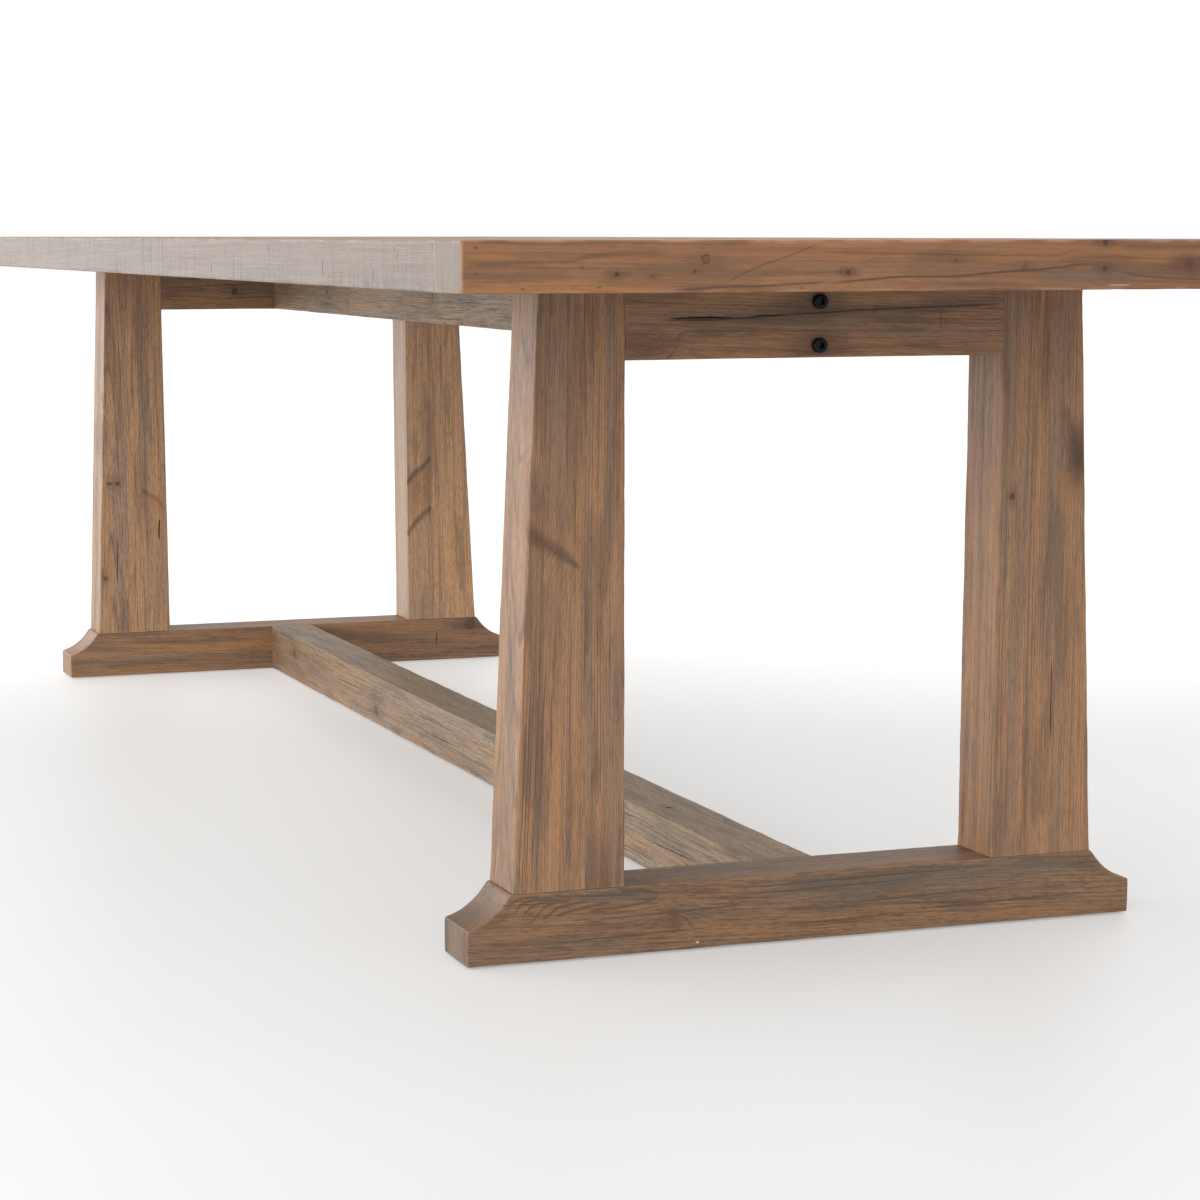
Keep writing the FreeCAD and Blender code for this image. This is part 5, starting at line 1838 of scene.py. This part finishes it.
@dataclass(frozen=True)
class Viewpoint:
    """Where the picture is taken from.

    Attributes:
        place: the lens's place in millimetres.
        yaw: how far the view turns from -X towards +Y, in degrees.
        pitch: how far it looks down.
        focal: the focal length, as a multiple of the picture's width.
        drop: how far the lens's axis lies under the picture's middle, as a share of its height.
    """

    place: Point = (4158.4, -1344.6, 767.9)
    yaw: float = 20.21
    pitch: float = 11.184
    focal: float = 3024.7 / 1200
    drop: float = 231.4 / 1200

    def aim(self) -> None:
        """Sets the scene's camera here."""
        yaw, pitch = math.radians(self.yaw), math.radians(self.pitch)
        way = Vector((-math.cos(yaw) * math.cos(pitch), math.sin(yaw) * math.cos(pitch),
                      -math.sin(pitch)))
        data = bpy.data.cameras.new("picture_camera")
        data.sensor_width = 36.0
        data.lens = self.focal * data.sensor_width
        data.shift_y = self.drop
        camera = stand("picture_camera", data)
        camera.location = Vector(self.place) * MM
        camera.rotation_mode = "QUATERNION"
        camera.rotation_quaternion = way.to_track_quat("-Z", "Y")
        bpy.context.scene.camera = camera


@dataclass(frozen=True)
class Softbox:
    """A wide soft white lamp.

    Attributes:
        name: its name.
        place: its place in metres.
        target: the point that it faces.
        size: its width and height in metres.
        level: its brightness, where 1 is as bright as white paper in full light.
    """

    name: str
    place: Point
    target: Point
    size: tuple[float, float]
    level: float

    def hang(self) -> None:
        """Adds the lamp to the scene."""
        data = bpy.data.lights.new(self.name, "AREA")
        data.shape = "RECTANGLE"
        data.size, data.size_y = self.size
        data.energy = self.level * math.pi * self.size[0] * self.size[1]
        lamp = stand(self.name, data)
        lamp.visible_camera = False
        lamp.location = self.place
        way = Vector(self.target) - Vector(self.place)
        lamp.rotation_mode = "QUATERNION"
        lamp.rotation_quaternion = way.to_track_quat("-Z", "Y")


@dataclass
class Studio:
    """A white studio: a pale floor that runs into a white background, and soft lamps.

    Attributes:
        half: half the floor's width in metres.
        fill: the brightness of the room's own light.
        near_lift: how much whiter the floor shows near the table than the light makes it.
        far_lift: the same behind the table and far from it.
    """

    half: float = 40.0
    fill: float = 0.75
    near_lift: float = 0.33
    far_lift: float = 0.5

    def floor(self) -> None:
        """Lays the floor: pale matte paint on a smooth screed, slightly mottled."""
        side = self.half
        mesh = bpy.data.meshes.new("studio_floor")
        mesh.from_pydata([(-side, -side, 0), (side, -side, 0), (side, side, 0),
                          (-side, side, 0)], [], [(0, 1, 2, 3)])
        stand("studio_floor", mesh)
        material = bpy.data.materials.new("painted_floor")
        tree = emptied(material)
        place = add(tree, "TexCoord", out=3)
        # Trowel marks of about 300 mm, and grains of 6 mm in the paint.
        mottle = add(tree, "TexNoise", {"Vector": place, "Scale": 3.3, "Detail": 3.0})
        grains = add(tree, "TexNoise", {"Vector": place, "Scale": 160.0, "Detail": 2.0})
        colour = add(tree, "Mix.RGBA", {0: mottle, 6: linear("#cbcbca"), 7: linear("#cfcfce")},
                     out=2)
        bump = add(tree, "Bump", {"Height": grains, "Strength": 0.15, "Distance": 0.0006})
        paint = add(tree, "BsdfPrincipled", {"Base Color": colour, "Roughness": 0.5,
                                             "Normal": bump})
        # Along the view the floor runs into the white behind the table, and its shadow stays.
        along = add(tree, "VectorMath.DOT_PRODUCT", {0: place, 1: (-0.938, 0.345, 0.0)}, out=1)
        behind = add(tree, "MapRange.SMOOTHSTEP", {0: along, 1: 0.1, 2: 1.5})
        out_far = add(tree, "VectorMath.LENGTH", {0: place}, out=1)
        far = add(tree, "MapRange.SMOOTHSTEP", {0: out_far, 1: 3.0, 2: 8.0})
        share = add(tree, "Math.MAXIMUM", {0: behind, 1: far})
        lift = add(tree, "MapRange", {0: share, 3: self.near_lift, 4: self.far_lift})
        lift = add(tree, "Math.MULTIPLY", {0: lift, 1: seen_directly(tree)})
        glow = add(tree, "Emission", {"Color": (1.0, 1.0, 1.0, 1.0), "Strength": lift})
        both = add(tree, "AddShader", {0: paint, 1: glow})
        add(tree, "OutputMaterial", {"Surface": both})
        mesh.materials.append(material)

    def room(self) -> None:
        """Lights the room evenly, and shows it white."""
        world = bpy.data.worlds.new("white_studio")
        tree = emptied(world)
        level = add(tree, "MapRange", {0: seen_directly(tree), 3: self.fill, 4: 1.0})
        light = add(tree, "Background", {"Color": (1.0, 1.0, 1.0, 1.0), "Strength": level})
        add(tree, "OutputWorld", {"Surface": light})
        bpy.context.scene.world = world

    def build(self) -> None:
        """Lays the floor, lights the room and hangs the lamps."""
        self.floor()
        self.room()
        for lamp in (("end_softbox", (11.0, -7.0, 4.6), (0.0, 0.0, 0.4), (10.0, 7.0), 2.5),
                     ("side_softbox", (-0.4, -5.0, 1.6), (-0.2, 0.0, 0.4), (6.0, 2.6), 2.15),
                     ("rear_softbox", (-4.4, -2.6, 1.4), (0.0, -0.3, 0.4), (3.5, 2.2), 1.6)):
            Softbox(*lamp).hang()
        bpy.context.scene.view_settings.view_transform = "Standard"


def seen_directly(tree: Tree) -> Socket:
    """Tells the camera's own, mirrored and passed rays from the light's.

    Args:
        tree: the node tree that gets the test.

    Returns:
        A socket that is 1 for such a ray.
    """
    rays = add(tree, "LightPath").node
    shown = add(tree, "Math.MAXIMUM", {0: rays.outputs["Is Camera Ray"],
                                       1: rays.outputs["Is Glossy Ray"]})
    return add(tree, "Math.MAXIMUM", {0: shown, 1: rays.outputs["Is Transmission Ray"]})


def main() -> None:
    """Builds the table in order, lights it and sets the picture's view."""
    logging.basicConfig(level=logging.INFO, format="%(message)s")
    Viewpoint().aim()
    Studio().build()
    TableTop().build()
    RightTrestle("right", 1139.0).build()
    # The left trestle's posts and rail take the paler pine, which paints in light.
    LeftTrestle("left", -1139.0, PALE_TRESTLE, TRESTLE).build()
    Ties().build()
    Fasteners().build()


if __name__ == "__main__":
    main()
